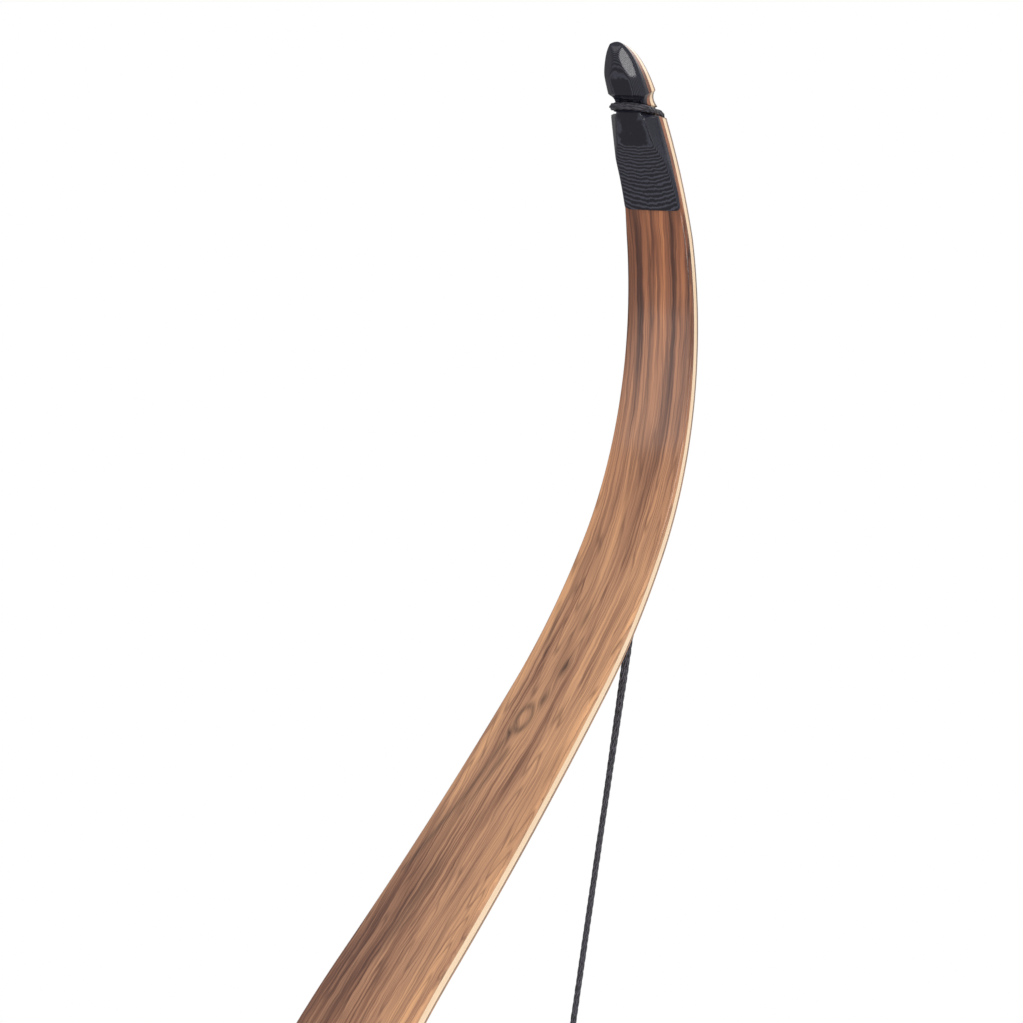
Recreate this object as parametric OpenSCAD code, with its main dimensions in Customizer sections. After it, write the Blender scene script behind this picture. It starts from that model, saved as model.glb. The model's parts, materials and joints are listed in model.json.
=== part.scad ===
// Take-down recurve bow, strung. Millimetres.
// The origin is the throat of the grip, on the face that the hand pushes against.
// +Z runs up along the string, +Y points at the target and +X is the archer's right.

/* [Riser] */
// Height of each riser end above or below the grip throat
riser_half = 226; // [218:1:236]
// Width of the riser at the limb pads
riser_w = 46; // [45:0.5:48]
// Depth of the riser end behind the limb pad
riser_end_depth = 15; // [12:0.5:18]
// Depth of the grip at the throat
grip_depth = 44; // [40:0.5:48]
// Width of the grip at the throat
grip_w = 29; // [27:0.5:32]
// How far the heel of the grip stands behind the throat
heel_depth = 22; // [16:0.5:26]
// How far the riser stands behind the throat at the shelf
crown_depth = 21; // [16:0.5:24]
// Half width of the dark middle layer of the riser
core_half = 6; // [5:0.5:7]
// Thickness of each accent stripe in the riser
stripe_t = 2.5; // [2:0.5:3]
// Bow of the riser's layers, from the grip to the riser ends
layer_rise = 29; // [24:0.5:32]
// How far the middle of the layers lies in front of the throat
layer_y = 22; // [20:0.5:24]

/* [Arrow shelf] */
// Height of the arrow shelf above the throat
shelf_z = 28; // [26:0.5:32]
// How far the sight window is cut past the centre
window_x = 3; // [1.5:0.5:5]
// Height of the straight wall of the sight window
window_len = 96; // [85:1:105]
// Height of the curve that closes the sight window
window_run = 24; // [18:1:30]
// Thickness of the shelf rug
rug_t = 1.6; // [1.2:0.1:2.2]
// Width of the shelf rug
rug_w = 21; // [18:0.5:22]
// Middle of the rug and the side plate, towards the target from the throat
rug_y = 14; // [12:0.5:16]
// Thickness of the side plate
side_plate_t = 1.5; // [1.2:0.1:2]
// Height of the side plate
side_plate_h = 34; // [30:1:40]
// Length of the side plate
side_plate_len = 40; // [36:1:44]

/* [Limb line] */
// Lean of the limb pads, back from the string
pad_lean = 20; // [18:0.5:22]
// Forward place of the pad at the riser end
pad_y = -2; // [-5:0.5:1]
// Length of limb that lies on the riser
pad_len = 83; // [80:0.5:88]
// Length of the working stretch above the riser
root_len = 167; // [160:1:175]
// Turn of that stretch towards the archer
root_turn = 19; // [17:0.5:21]
// Length of the long, nearly straight stretch
middle_len = 130; // [122:1:138]
// Turn of that stretch towards the target
middle_turn = 4.5; // [3:0.5:6]
// Length of the stretch that leads into the recurve
sweep_len = 60; // [52:1:68]
// Turn of that stretch towards the target
sweep_turn = 13.5; // [12:0.5:15]
// Length of the recurve
hook_len = 105; // [98:1:112]
// Turn of the recurve towards the target
hook_turn = 49.5; // [47:0.5:52]
// Length of the stiff tip up to the string nock
tip_len = 48; // [44:1:52]
// Turn of the tip towards the target
tip_turn = 15.5; // [14:0.5:17]

/* [Limb section] */
// Width of the limb from the butt to the end of its wedge
limb_w = 45; // [43:0.5:45]
// Width of the limb where the recurve ends and the tip starts
tip_w = 22.8; // [21:0.2:24]
// Width of the limb at the string nock
nock_w = 16.4; // [15.4:0.1:17.4]
// Thickness of the clear glass on each face
glass_t = 0.8; // [0.6:0.1:1.1]
// Thickness of the veneer under the glass of the back
back_veneer_t = 1.1; // [0.8:0.1:1.3]
// Thickness of the veneer under the glass of the belly
belly_veneer_t = 0.5; // [0.4:0.1:0.8]
// Thickness of both core laminations at the butt
core_butt_t = 3.1; // [2.7:0.1:3.6]
// Thickness of both core laminations at the nock
core_nock_t = 1.6; // [1.4:0.1:2]
// Thickness of the wedge in the butt
wedge_t = 7; // [6:0.5:8]
// Length over which the wedge runs out beyond the riser
fade_len = 77; // [65:1:90]

/* [Limb tip] */
// Length of the head above the nock
head_len = 22.2; // [21:0.2:23.4]
// Turn of the head towards the target
head_turn = 0.6; // [0.2:0.1:1.6]
// Width of the head
head_w = 14.2; // [13.6:0.2:14.8]
// Length of the tip overlay below the nock
overlay_len = 39.5; // [36:0.5:44]
// Thickness of the tip overlay
overlay_t = 4.5; // [4:0.1:5.2]
// Length of the ramp at the foot of the overlay
ramp_len = 25; // [20:0.5:28]
// Thickness of the overlay at its foot
overlay_foot_t = 0.5; // [0.4:0.1:0.8]
// Depth of the neck in each edge of the tip
neck_depth = 2.8; // [2.4:0.1:3]
// Depth of the string in its groove, below the edge of the tip
groove_sink = 0.8; // [0.6:0.1:1]
// Slant of the string grooves in the sides of the tip
groove_slant = 38; // [34:1:44]

/* [String] */
// Radius of the string between its splices
string_r = 1.1; // [1:0.05:1.2]
// Radius of the string at its splices
splice_r = 1.45; // [1.35:0.05:1.55]
// Radius of the rope in the loops
loop_r = 1.35; // [1.25:0.05:1.4]
// Length of the splice below each nock
splice_len = 180; // [160:5:200]
// Length over which the splice runs out
splice_taper = 45; // [35:5:60]
// Length of the centre serving
serving_len = 200; // [160:5:230]
// Wall of the centre serving
serving_t = 0.4; // [0.3:0.05:0.5]
// Height of the nocking point above the shelf
nock_point_rise = 14; // [11:0.5:16]
// Height of the nocking point
nock_point_h = 4; // [3.5:0.5:5]
// Wall of the nocking point
nock_point_t = 1.3; // [1:0.1:1.6]

/* [Limb bolts] */
// Radius of the limb bolt's shank
bolt_r = 3.97; // [3.5:0.01:4.2]
// Radius of the limb bolt's head
bolt_head_r = 9.5; // [8.5:0.5:10.5]
// Height of the limb bolt's head
bolt_head_h = 7; // [6:0.5:8]
// Width across flats of the key socket in the head
bolt_key = 6; // [5:0.5:6.5]
// Depth of the key socket
bolt_key_depth = 4; // [3:0.5:4.5]
// Distance from the limb's butt to its bolt
bolt_u = 28; // [25:0.5:32]
// Length of thread held in the riser
thread_len = 20; // [16:0.5:20]
// Radius of the washer under the head
washer_r = 11.5; // [11:0.5:13]
// Thickness of that washer
washer_t = 2; // [1.6:0.1:2.5]
// Outer radius of the threaded insert
insert_r = 6; // [5.5:0.5:6.5]
// Distance from the limb's butt to its locating pin
pin_u = 58; // [54:0.5:66]
// Radius of the locating pin
pin_r = 3; // [2.5:0.1:3.2]
// Depth of the locating pin in the riser
pin_depth = 11; // [9:0.5:12]
// Thickness of the facing on the riser's limb pads
facing_t = 2.5; // [2:0.1:3]
// Thickness of the overlay on the back of the limb butt
butt_overlay_t = 2.4; // [2:0.1:3]
// Length of that overlay
butt_overlay_len = 66; // [62:1:72]

/* [Bushings] */
// Radius of the accessory threads, tapped for 5/16-24 screws
bush_thread_r = 3.45; // [3.4:0.01:3.6]
// Outer radius of the bushings
bush_r = 5.5; // [5:0.1:6]
// Height of the plunger bushing above the shelf
plunger_rise = 16; // [14:0.5:18]
// Forward place of the plunger bushing
plunger_y = 6; // [4:0.5:9]
// Depth of the stabilizer bushing
stabilizer_len = 20; // [16:0.5:24]
// Distance of the stabilizer bushing below the throat
stabilizer_drop = 78; // [70:1:86]

/* [Fits] */
// Radial gap of the limb bolt in its insert
thread_gap = 0.05; // [0.03:0.01:0.08]
// Radial gap of the limb bolt in the limb
bolt_gap = 0.35; // [0.25:0.05:0.5]
// Radial gap of the locating pin in the limb
pin_gap = 0.1; // [0.05:0.05:0.2]
// Gap between the limb's butt and the riser
butt_gap = 0.8; // [0.4:0.1:1.2]
// Gap between the string and the limb
string_gap = 0.3; // [0.2:0.05:0.4]

/* [Hidden] */

eps = 0.01;
big = 120;
rad = 180 / PI;
$fn = 48;

// The line of the limb's back runs from the butt, u = 0, to the nock and on through the head.
// Each stretch is an arc of a given length and turn, in degrees towards the archer.
STRETCHES = [
    [pad_len, 0], [root_len, root_turn], [middle_len, -middle_turn],
    [sweep_len, -sweep_turn], [hook_len, -hook_turn], [tip_len, -tip_turn],
    [head_len, -head_turn]];
butt_t = 2 * glass_t + back_veneer_t + belly_veneer_t + core_butt_t + wedge_t;
nock_u = pad_len + root_len + middle_len + sweep_len + hook_len + tip_len;
end_u = nock_u + head_len;
tip_u = nock_u - tip_len;
foot_u = nock_u - overlay_len;
fade_u = pad_len + fade_len;

// The butt lies where the pad's belly face meets the riser end.
pad_top = [pad_y + facing_t * cos(pad_lean), riser_half + facing_t * sin(pad_lean)];
butt = [
    pad_top[0] + butt_t * cos(pad_lean) + pad_len * sin(pad_lean),
    pad_top[1] + butt_t * sin(pad_lean) - pad_len * cos(pad_lean)];

function arc_end(p, lean, length, turn) =
    abs(turn) < eps
    ? [p[0] - length * sin(lean), p[1] + length * cos(lean)]
    : let(r = rad * length / turn)
        [p[0] + r * (cos(lean + turn) - cos(lean)), p[1] + r * (sin(lean + turn) - sin(lean))];

// Place and lean at each end of the stretches, with the distance along the back
function states(i = 0, p = butt, lean = pad_lean, u = 0) =
    i == len(STRETCHES)
    ? [[p, lean, u]]
    : let(length = STRETCHES[i][0], turn = STRETCHES[i][1])
        concat(
            [[p, lean, u]],
            states(i + 1, arc_end(p, lean, length, turn), lean + turn, u + length));
STATES = states();

function stretch_of(u, i = 0) =
    i == len(STRETCHES) - 1 || u <= STATES[i + 1][2] ? i : stretch_of(u, i + 1);
function lean(u) =
    let(i = stretch_of(u), s = STATES[i])
    s[1] + STRETCHES[i][1] * (u - s[2]) / STRETCHES[i][0];
function back_point(u) =
    let(i = stretch_of(u), s = STATES[i], share = (u - s[2]) / STRETCHES[i][0])
    arc_end(s[0], s[1], u - s[2], STRETCHES[i][1] * share);
// A point at a depth below the limb's back, or above it where the depth is negative
function limb_point(u, depth) =
    back_point(u) - depth * [cos(lean(u)), sin(lean(u))];

function ramp(x, x0, x1, y0, y1) = y0 + (y1 - y0) * min(1, max(0, (x - x0) / (x1 - x0)));
function core_t(u) = ramp(u, pad_len, nock_u, core_butt_t, core_nock_t);
function wedge(u) = ramp(u, pad_len, fade_u, wedge_t, 0);

// Depth of each joint between layers, counted from the back
function layer_depth(i, u) =
    i == 0 ? 0
    : i == 1 ? glass_t
    : i == 2 ? glass_t + back_veneer_t
    : i == 3 ? layer_depth(2, u) + core_t(u) / 2
    : i == 4 ? layer_depth(3, u) + wedge(u)
    : i == 5 ? layer_depth(4, u) + core_t(u) / 2
    : i == 6 ? layer_depth(5, u) + belly_veneer_t
    : layer_depth(6, u) + glass_t;
function limb_t(u) = layer_depth(7, u);

// Width of the limb, and the round outline of its head
function body_half(u) =
    u < fade_u ? limb_w / 2
    : u < tip_u ? ramp(u, fade_u, tip_u, limb_w, tip_w) / 2
    : ramp(u, tip_u, nock_u, tip_w, nock_w) / 2;
head_round = 20.4;
head_point = 0.5;
function head_half(u) =
    let(x = max(0, (u - end_u + head_round) / head_round))
    head_w / 2 * pow(max(0, 1 - pow(x, 2)), head_point);
function half_width(u) = u <= nock_u ? body_half(u) : head_half(u);

function steps(u0, u1, count) = [for (i = [0:count]) u0 + (u1 - u0) * i / count];
STATIONS = concat(
    steps(0, pad_len, 2), steps(pad_len, fade_u, 10), steps(fade_u, pad_len + root_len, 10),
    steps(pad_len + root_len, nock_u - tip_len - hook_len, 14),
    steps(nock_u - tip_len - hook_len, tip_u, 20), steps(tip_u, foot_u, 2),
    steps(foot_u, nock_u, 8));
HEAD_STATIONS = [for (i = [1:10]) nock_u + head_len * (1 - pow(1 - i / 10, 1.7))];
LINE = concat([for (i = [0:len(STATIONS) - 1])
    if (i == 0 || STATIONS[i] > STATIONS[i - 1] + eps) STATIONS[i]], HEAD_STATIONS);

module along_x(width) { rotate([90, 0, 90]) linear_extrude(width, center = true) children(); }
module along_y(depth) { rotate([90, 0, 0]) linear_extrude(depth, center = true) children(); }
// Places children on the limb's back: Y points out of the back and Z runs on to the tip
module on_limb(u) {
    p = back_point(u);
    translate([0, p[0], p[1]]) rotate([lean(u), 0, 0]) children();
}
module lower() { mirror([0, 0, 1]) children(); }

// Everything that lies inside the limb's outline, seen from the front
module limb_outline() {
    top = [for (u = LINE) [half_width(u), back_point(u)[1]]];
    below = top[0][1] - 2 * butt_t;
    along_y(4 * big) polygon(concat(
        [[limb_w / 2, below]], top,
        [for (i = [len(top) - 1:-1:0]) [-top[i][0], top[i][1]]], [[-limb_w / 2, below]]));
}

// The neck is filed into both edges, and the string's grooves run on from it at a slant
neck_r = 4.7;
neck_rise = 0.4;
neck_slant = 16;
groove_r = loop_r + string_gap;
groove_x = nock_w / 2 - groove_sink - loop_r;
module side_grooves() {
    on_limb(nock_u) for (side = [0, 1]) mirror([side, 0, 0]) {
        translate([groove_x, overlay_t, 0]) rotate([groove_slant, 0, 0]) {
            rotate([90, 0, 0]) cylinder(r = groove_r, h = big, center = true);
            translate([0, -big / 2, -groove_r]) cube([limb_w, big, 2 * groove_r]);
        }
        translate([nock_w / 2 - neck_depth + neck_r, overlay_t, neck_rise])
            rotate([neck_slant, 0, 0])
            rotate([90, 0, 0]) cylinder(r = neck_r, h = big, center = true);
    }
}
// The belly of the head is sanded towards the tip
head_bevel = 2.6;
module head_round_off() {
    on_limb(nock_u) translate([0, -limb_t(nock_u), head_len - head_round - 1])
        rotate([-head_bevel, 0, 0]) translate([-limb_w, -big, 0]) cube([2 * limb_w, big, big]);
}

module bolt_hole(radius) {
    on_limb(bolt_u) rotate([90, 0, 0]) translate([0, 0, -big / 2]) cylinder(r = radius, h = big);
}
module pin_hole() {
    on_limb(pin_u) rotate([90, 0, 0]) translate([0, 0, layer_depth(3, pin_u)])
        cylinder(r = pin_r + pin_gap, h = big / 2);
}

// One lamination: the band between two joints, cut to the outline of the limb
module lamination(i, end = end_u, pinned = false) {
    line = [for (u = LINE) if (u <= end) u];
    difference() {
        intersection() {
            along_x(2 * limb_w) polygon(concat(
                [for (u = line) limb_point(u, layer_depth(i, u))],
                [for (k = [len(line) - 1:-1:0])
                    if (i != 3 || wedge(line[k]) > 0)
                        limb_point(line[k], layer_depth(i + 1, line[k]))]));
            limb_outline();
        }
        side_grooves();
        head_round_off();
        bolt_hole(bolt_r + bolt_gap);
        if (pinned) pin_hole();
    }
}

module back_glass() { color("#B98A66") lamination(0); }
module back_veneer() { color("#8A5A3C") lamination(1); }
module back_core() { color("#EBCFA8") lamination(2); }
module butt_wedge() { color("#D9B98C") lamination(3, fade_u, true); }
module belly_core() { color("#EBCFA8") lamination(4, end_u, true); }
module belly_veneer() { color("#6E4A35") lamination(5, end_u, true); }
module belly_glass() { color("#A98466") lamination(6, end_u, true); }

module butt_overlay() {
    color("#2E2E36") difference() {
        on_limb(0) translate([0, butt_overlay_t, 0]) rotate([90, 0, 0])
            linear_extrude(butt_overlay_t) {
                translate([-limb_w / 2, 0]) square([limb_w, butt_overlay_len - limb_w / 2]);
                translate([0, butt_overlay_len - limb_w / 2]) circle(limb_w / 2);
            }
        bolt_hole(bolt_r + bolt_gap);
    }
}

// Height of the tip overlay above the limb's back, with its hollowed ramp and round head
ramp_hollow = 0.2;
head_power = 4.5;
function overlay_h(u) =
    let(x = (u - nock_u + overlay_len) / ramp_len, y = (u - end_u + head_round) / head_round)
    x < 1 ? overlay_foot_t + (overlay_t - overlay_foot_t) * x * (1 - ramp_hollow + ramp_hollow * x)
    : y < 0 ? overlay_t
    : overlay_t * sqrt(max(0, 1 - pow(y, head_power)));
// Cuts away what lies beyond a point in the direction of a normal
module cut_beyond(p, n) {
    translate(p) rotate([0, acos(n[2] / norm(n)), atan2(n[1], n[0])])
        translate([-big / 2, -big / 2, 0]) cube(big);
}
// The string's groove across the back is wider than the rope, which lies low in it
saddle_r = 3.4;
saddle_rise = 1.2;
// The head's bevels, each as a point [across, out, on] of the nock's frame and a normal
HEAD_FACETS = [[[4.4, 4.1, 9.6], [1, 1.8, 0]], [[4.1, 3.8, 12.3], [1, 1.8, 0.59]]];
bevel_normal = [47, 59, 11.5];
module tip_overlay() {
    line = [for (u = LINE) if (u > foot_u - eps) u];
    color("#2E2E36") difference() {
        intersection() {
            along_x(limb_w) polygon(concat(
                [for (u = line) limb_point(u, -overlay_h(u))],
                [for (k = [len(line) - 2:-1:0]) back_point(line[k])]));
            limb_outline();
        }
        side_grooves();
        on_limb(nock_u) {
            translate([0, overlay_t + 1.2, saddle_rise]) rotate([0, 90, 0])
                cylinder(r = saddle_r, h = 2 * nock_w, center = true);
            // The bevels of the head, and those that run out beside the ramp
            for (side = [0, 1]) mirror([side, 0, 0]) {
                intersection() {
                    translate([-big, -big, 1]) cube(2 * big);
                    union() { for (f = HEAD_FACETS) cut_beyond(f[0], f[1]); }
                }
                intersection() {
                    translate([-big, -big, 1 - 2 * big]) cube(2 * big);
                    cut_beyond([4.4, overlay_t, -2], bevel_normal);
                }
            }
        }
    }
}

// Heights along the riser with the value there, joined by a smooth curve
function seek(t, z, i = 1) = i >= len(t) - 1 || z < t[i][0] ? i : seek(t, z, i + 1);
function slope(t, i) =
    i == 0 || i == len(t) - 1 ? 0
    : (t[i + 1][1] - t[i - 1][1]) / (t[i + 1][0] - t[i - 1][0]);
function smooth(t, z) =
    let(i = seek(t, z), a = t[i - 1], b = t[i], h = b[0] - a[0], x = (z - a[0]) / h)
    a[1] * (1 + 2 * x) * pow(1 - x, 2) + h * slope(t, i - 1) * x * pow(1 - x, 2)
    + b[1] * x * x * (3 - 2 * x) + h * slope(t, i) * x * x * (x - 1);

end_belly = pad_y - riser_end_depth;
bed_z = riser_half - pad_len * cos(pad_lean);
BELLY_LINE = [
    [-riser_half, end_belly], [-bed_z - 25, end_belly + 3], [-bed_z + 18, -7], [-104, -heel_depth + 7],
    [-84, -heel_depth], [-48, -heel_depth / 2], [-16, -1.5], [0, 0], [13, -3],
    [shelf_z, -crown_depth * 0.6], [shelf_z + 20, -crown_depth], [shelf_z + 50, -crown_depth + 3],
    [bed_z, end_belly + 3], [riser_half, end_belly]];
BACK_LINE = [
    [-riser_half, grip_depth + 2], [-bed_z, grip_depth + 2], [-84, grip_depth + 1], [-30, grip_depth - 1],
    [0, grip_depth], [shelf_z, grip_depth + 3], [shelf_z + 55, grip_depth + 4],
    [bed_z, grip_depth + 2], [riser_half, grip_depth + 2]];
SIDE_LINE = [
    [-riser_half, riser_w / 2 - 2], [-riser_half + 9, riser_w / 2], [-bed_z, riser_w / 2],
    [-104, grip_w / 2 + 4.5], [-72, grip_w / 2 + 3], [-36, grip_w / 2 + 2], [-4, grip_w / 2],
    [12, grip_w / 2 + 3], [shelf_z - 3, riser_w / 2 - 1.5], [shelf_z + 20, riser_w / 2],
    [riser_half - 9, riser_w / 2], [riser_half, riser_w / 2 - 2]];
BELLY_ROUND = [
    [-riser_half, 5], [-bed_z, 8], [-84, 12], [0, 13], [shelf_z + 10, 9], [bed_z, 7], [riser_half, 5]];
BACK_ROUND = [
    [-riser_half, 3], [-bed_z, 4], [-84, 9], [-10, 12], [shelf_z, 8], [shelf_z + 50, 7], [bed_z, 4],
    [riser_half, 3]];

// The layers of the riser lie in arcs round one axis far behind the archer's side
layer_r = (riser_half * riser_half + layer_rise * layer_rise) / (2 * layer_rise);
function layer_edge(z, offset) = layer_y - layer_r + sqrt(pow(layer_r + offset, 2) - z * z);
// Half the width of the riser at a height and depth, within its rounded edges
function riser_half_width(z, y) =
    let(
        a = smooth(SIDE_LINE, z), y0 = smooth(BELLY_LINE, z), y1 = smooth(BACK_LINE, z),
        r0 = smooth(BELLY_ROUND, z), r1 = smooth(BACK_ROUND, z))
    y < y0 + r0 ? a - r0 + sqrt(max(0, r0 * r0 - pow(y0 + r0 - y, 2)))
    : y > y1 - r1 ? a - r1 + sqrt(max(0, r1 * r1 - pow(y - y1 + r1, 2)))
    : a;

// One side of a layer's outline at a height, each point its half width and depth
corner_steps = 4;
function belly_side(z) =
    let(
        a = smooth(SIDE_LINE, z), y0 = smooth(BELLY_LINE, z),
        joint = layer_edge(z, -core_half - stripe_t), r = min(smooth(BELLY_ROUND, z), 0.9 * (joint - y0)))
    concat(
        [for (k = [0:corner_steps]) let(t = 90 * k / corner_steps)
            [a - r + r * sin(t), y0 + r - r * cos(t)]],
        [[a, joint]]);
function back_side(z) =
    let(
        a = smooth(SIDE_LINE, z), y1 = smooth(BACK_LINE, z),
        joint = layer_edge(z, core_half + stripe_t), r = min(smooth(BACK_ROUND, z), 0.9 * (y1 - joint)))
    concat(
        [[a, joint]],
        [for (k = [0:corner_steps]) let(t = 90 * k / corner_steps)
            [a - r + r * cos(t), y1 - r + r * sin(t)]]);
function inner_side(z, inner, outer) =
    [for (edge = [inner, outer]) let(y = layer_edge(z, edge)) [riser_half_width(z, y), y]];

RISER_LEVELS = concat(
    steps(-riser_half, -riser_half + 9, 2), steps(-bed_z - 30, -110, 6), steps(-104, 60, 26),
    steps(68, bed_z + 30, 9), steps(riser_half - 9, riser_half, 2));
// Skins a layer over its outlines, given from the lowest level to the highest
module riser_skin(outlines) {
    n = 2 * len(outlines[0]);
    rings = len(outlines);
    polyhedron(
        points = [for (k = [0:rings - 1]) each concat(
            [for (p = outlines[k]) [p[0], p[1], RISER_LEVELS[k]]],
            [for (i = [n / 2 - 1:-1:0]) let(p = outlines[k][i]) [-p[0], p[1], RISER_LEVELS[k]]])],
        faces = concat(
            [[for (i = [0:n - 1]) i]],
            [for (k = [0:rings - 2], i = [0:n - 1], half = [0, 1])
                let(j = (i + 1) % n, low = k * n, high = low + n)
                half == 0 ? [low + i, high + i, high + j] : [low + i, high + j, low + j]],
            [[for (i = [0:n - 1]) (rings - 1) * n + n - 1 - i]]));
}

// The bed that takes a limb's butt, with the facing under it
module limb_bed() {
    on_limb(0) translate([-big / 2, -butt_t - facing_t, -butt_gap]) cube([big, big, 2 * big]);
}
// The sight window, open on the archer's left
module sight_window() {
    top = shelf_z + window_len;
    reach = window_x + riser_w;
    along_y(3 * big) polygon(concat(
        [[-reach, shelf_z], [window_x, shelf_z]],
        [for (k = [0:6]) let(a = 15 * k)
            [window_x - (window_x + riser_w / 2) * (1 - cos(a)), top + window_run * sin(a)]],
        [[-reach, top + window_run]]));
}
module shank(u, radius, depth) {
    on_limb(u) rotate([90, 0, 0]) translate([0, 0, butt_t + facing_t - eps])
        cylinder(r = radius, h = depth + eps);
}
plunger_z = shelf_z + plunger_rise;
stabilizer_z = -stabilizer_drop;
stabilizer_y = smooth(BACK_LINE, stabilizer_z) - 0.3;
module riser_cuts() {
    limb_bed();
    lower() limb_bed();
    sight_window();
    shank(bolt_u, insert_r, thread_len + 3);
    lower() shank(bolt_u, insert_r, thread_len + 3);
    shank(pin_u, pin_r, pin_depth);
    lower() shank(pin_u, pin_r, pin_depth);
    translate([window_x - 1, plunger_y, plunger_z]) rotate([0, 90, 0]) cylinder(r = bush_r, h = riser_w);
    translate([0, stabilizer_y - stabilizer_len, stabilizer_z]) rotate([-90, 0, 0])
        cylinder(r = bush_r, h = 2 * stabilizer_len);
}

module riser_belly_block() {
    color("#8A5A3C") difference() {
        riser_skin([for (z = RISER_LEVELS) belly_side(z)]);
        riser_cuts();
    }
}
module riser_back_block() {
    color("#8A5A3C") difference() {
        riser_skin([for (z = RISER_LEVELS) back_side(z)]);
        riser_cuts();
    }
}
module riser_layer(inner, outer) {
    difference() {
        riser_skin([for (z = RISER_LEVELS) inner_side(z, inner, outer)]);
        riser_cuts();
    }
}
module riser_rear_stripe() { color("#EBCFA8") riser_layer(-core_half - stripe_t, -core_half); }
module riser_core() { color("#2E2E36") riser_layer(-core_half, core_half); }
module riser_front_stripe() { color("#EBCFA8") riser_layer(core_half, core_half + stripe_t); }

module pad_facing() {
    color("#2E2E36") difference() {
        on_limb(0) translate([0, -butt_t, 0]) rotate([90, 0, 0]) linear_extrude(facing_t)
            translate([-riser_w / 2 + 1, 0]) square([riser_w - 2, pad_len]);
        bolt_hole(bolt_r + bolt_gap);
        on_limb(pin_u) rotate([90, 0, 0]) translate([0, 0, butt_t - eps])
            cylinder(r = pin_r, h = facing_t + 2 * eps);
    }
}
module bolt_insert() {
    color("#B08D57") on_limb(bolt_u) rotate([90, 0, 0]) translate([0, 0, butt_t + facing_t])
        difference() {
            cylinder(r = insert_r, h = thread_len + 3);
            translate([0, 0, -eps]) cylinder(r = bolt_r + thread_gap, h = thread_len + 1);
        }
}
module locating_pin() {
    reach = butt_t - layer_depth(4, pin_u) + wedge_t - 1;
    color("#B9BDC2") on_limb(pin_u) rotate([90, 0, 0])
        translate([0, 0, butt_t - reach]) cylinder(r = pin_r, h = reach + facing_t + pin_depth);
}

// The rug lies on the shelf and the side plate on the wall of the window
rug_len = 44;
rug_corner_r = 24;
module shelf_rug() {
    color("#4A3A2E") intersection() {
        translate([window_x - side_plate_t - rug_w, rug_y - rug_len / 2, shelf_z])
            cube([rug_w, rug_len, rug_t]);
        translate([0, rug_y, shelf_z - 1]) cylinder(r = rug_corner_r, h = rug_t + 2);
    }
}
module side_plate() {
    color("#4A3A2E") difference() {
        translate([window_x, rug_y, shelf_z]) rotate([0, -90, 0]) linear_extrude(side_plate_t)
            intersection() {
                translate([0, -side_plate_len / 2]) square([side_plate_h, side_plate_len]);
                circle(side_plate_h);
            }
        translate([-riser_w, plunger_y, plunger_z]) rotate([0, 90, 0])
            cylinder(r = bush_thread_r + 1, h = 2 * riser_w);
    }
}
module plunger_bushing() {
    length = riser_w / 2 - window_x - 0.5;
    color("#B08D57") translate([window_x, plunger_y, plunger_z]) rotate([0, 90, 0])
        difference() {
            cylinder(r = bush_r, h = length);
            translate([0, 0, -1]) cylinder(r = bush_thread_r, h = length + 2);
        }
}
module stabilizer_bushing() {
    color("#B08D57") translate([0, stabilizer_y, stabilizer_z]) rotate([90, 0, 0])
        difference() {
            cylinder(r = bush_r, h = stabilizer_len);
            translate([0, 0, -1]) cylinder(r = bush_thread_r, h = stabilizer_len - 1);
        }
}

washer_base = butt_overlay_t;
module bolt_washer() {
    color("#B9BDC2") on_limb(bolt_u) translate([0, washer_base, 0]) rotate([-90, 0, 0])
        difference() {
            cylinder(r = washer_r, h = washer_t);
            translate([0, 0, -1]) cylinder(r = bolt_r + bolt_gap, h = washer_t + 2);
        }
}
module limb_bolt() {
    grip_len = washer_t + washer_base + butt_t + facing_t;
    dome = 2;
    color("#2B2B2E") on_limb(bolt_u) translate([0, washer_base + washer_t, 0]) rotate([-90, 0, 0]) {
        difference() {
            rotate_extrude() polygon(concat(
                [[0, 0], [bolt_head_r, 0], [bolt_head_r, bolt_head_h - dome]],
                [for (k = [1:6]) [bolt_head_r - dome * (1 - cos(15 * k)), bolt_head_h - dome * (1 - sin(15 * k))]],
                [[0, bolt_head_h]]));
            translate([0, 0, bolt_head_h - bolt_key_depth])
                cylinder(r = bolt_key / sqrt(3), h = bolt_key_depth + 1, $fn = 6);
        }
        translate([0, 0, -grip_len - thread_len]) cylinder(r = bolt_r, h = grip_len + thread_len + eps);
    }
}

// The string follows the belly of the recurve, leaves it where the belly is upright,
// and runs straight down to the same place on the lower limb.
hook_lean = -lean(tip_u);
lift_u = tip_u - hook_len * hook_lean / hook_turn;
function string_radius(fall) =
    ramp(fall, splice_len, splice_len + splice_taper, splice_r, string_r);
join_u = nock_u - 30;
function belly_route(u) = limb_point(u, limb_t(u) + splice_r + string_gap);
string_y = belly_route(lift_u)[0];
nock_z = back_point(nock_u)[1];
STRING_RUN = concat(
    [for (u = steps(join_u, lift_u, 12)) let(p = belly_route(u)) [[0, p[0], p[1]], splice_r]],
    [for (fall = [splice_len, splice_len + splice_taper])
        [[0, string_y, nock_z - fall], string_radius(fall)]]);
STRING_ROUTE = concat(STRING_RUN,
    [for (i = [len(STRING_RUN) - 1:-1:0])
        let(p = STRING_RUN[i][0]) [[p[0], p[1], -p[2]], STRING_RUN[i][1]]]);

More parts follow.
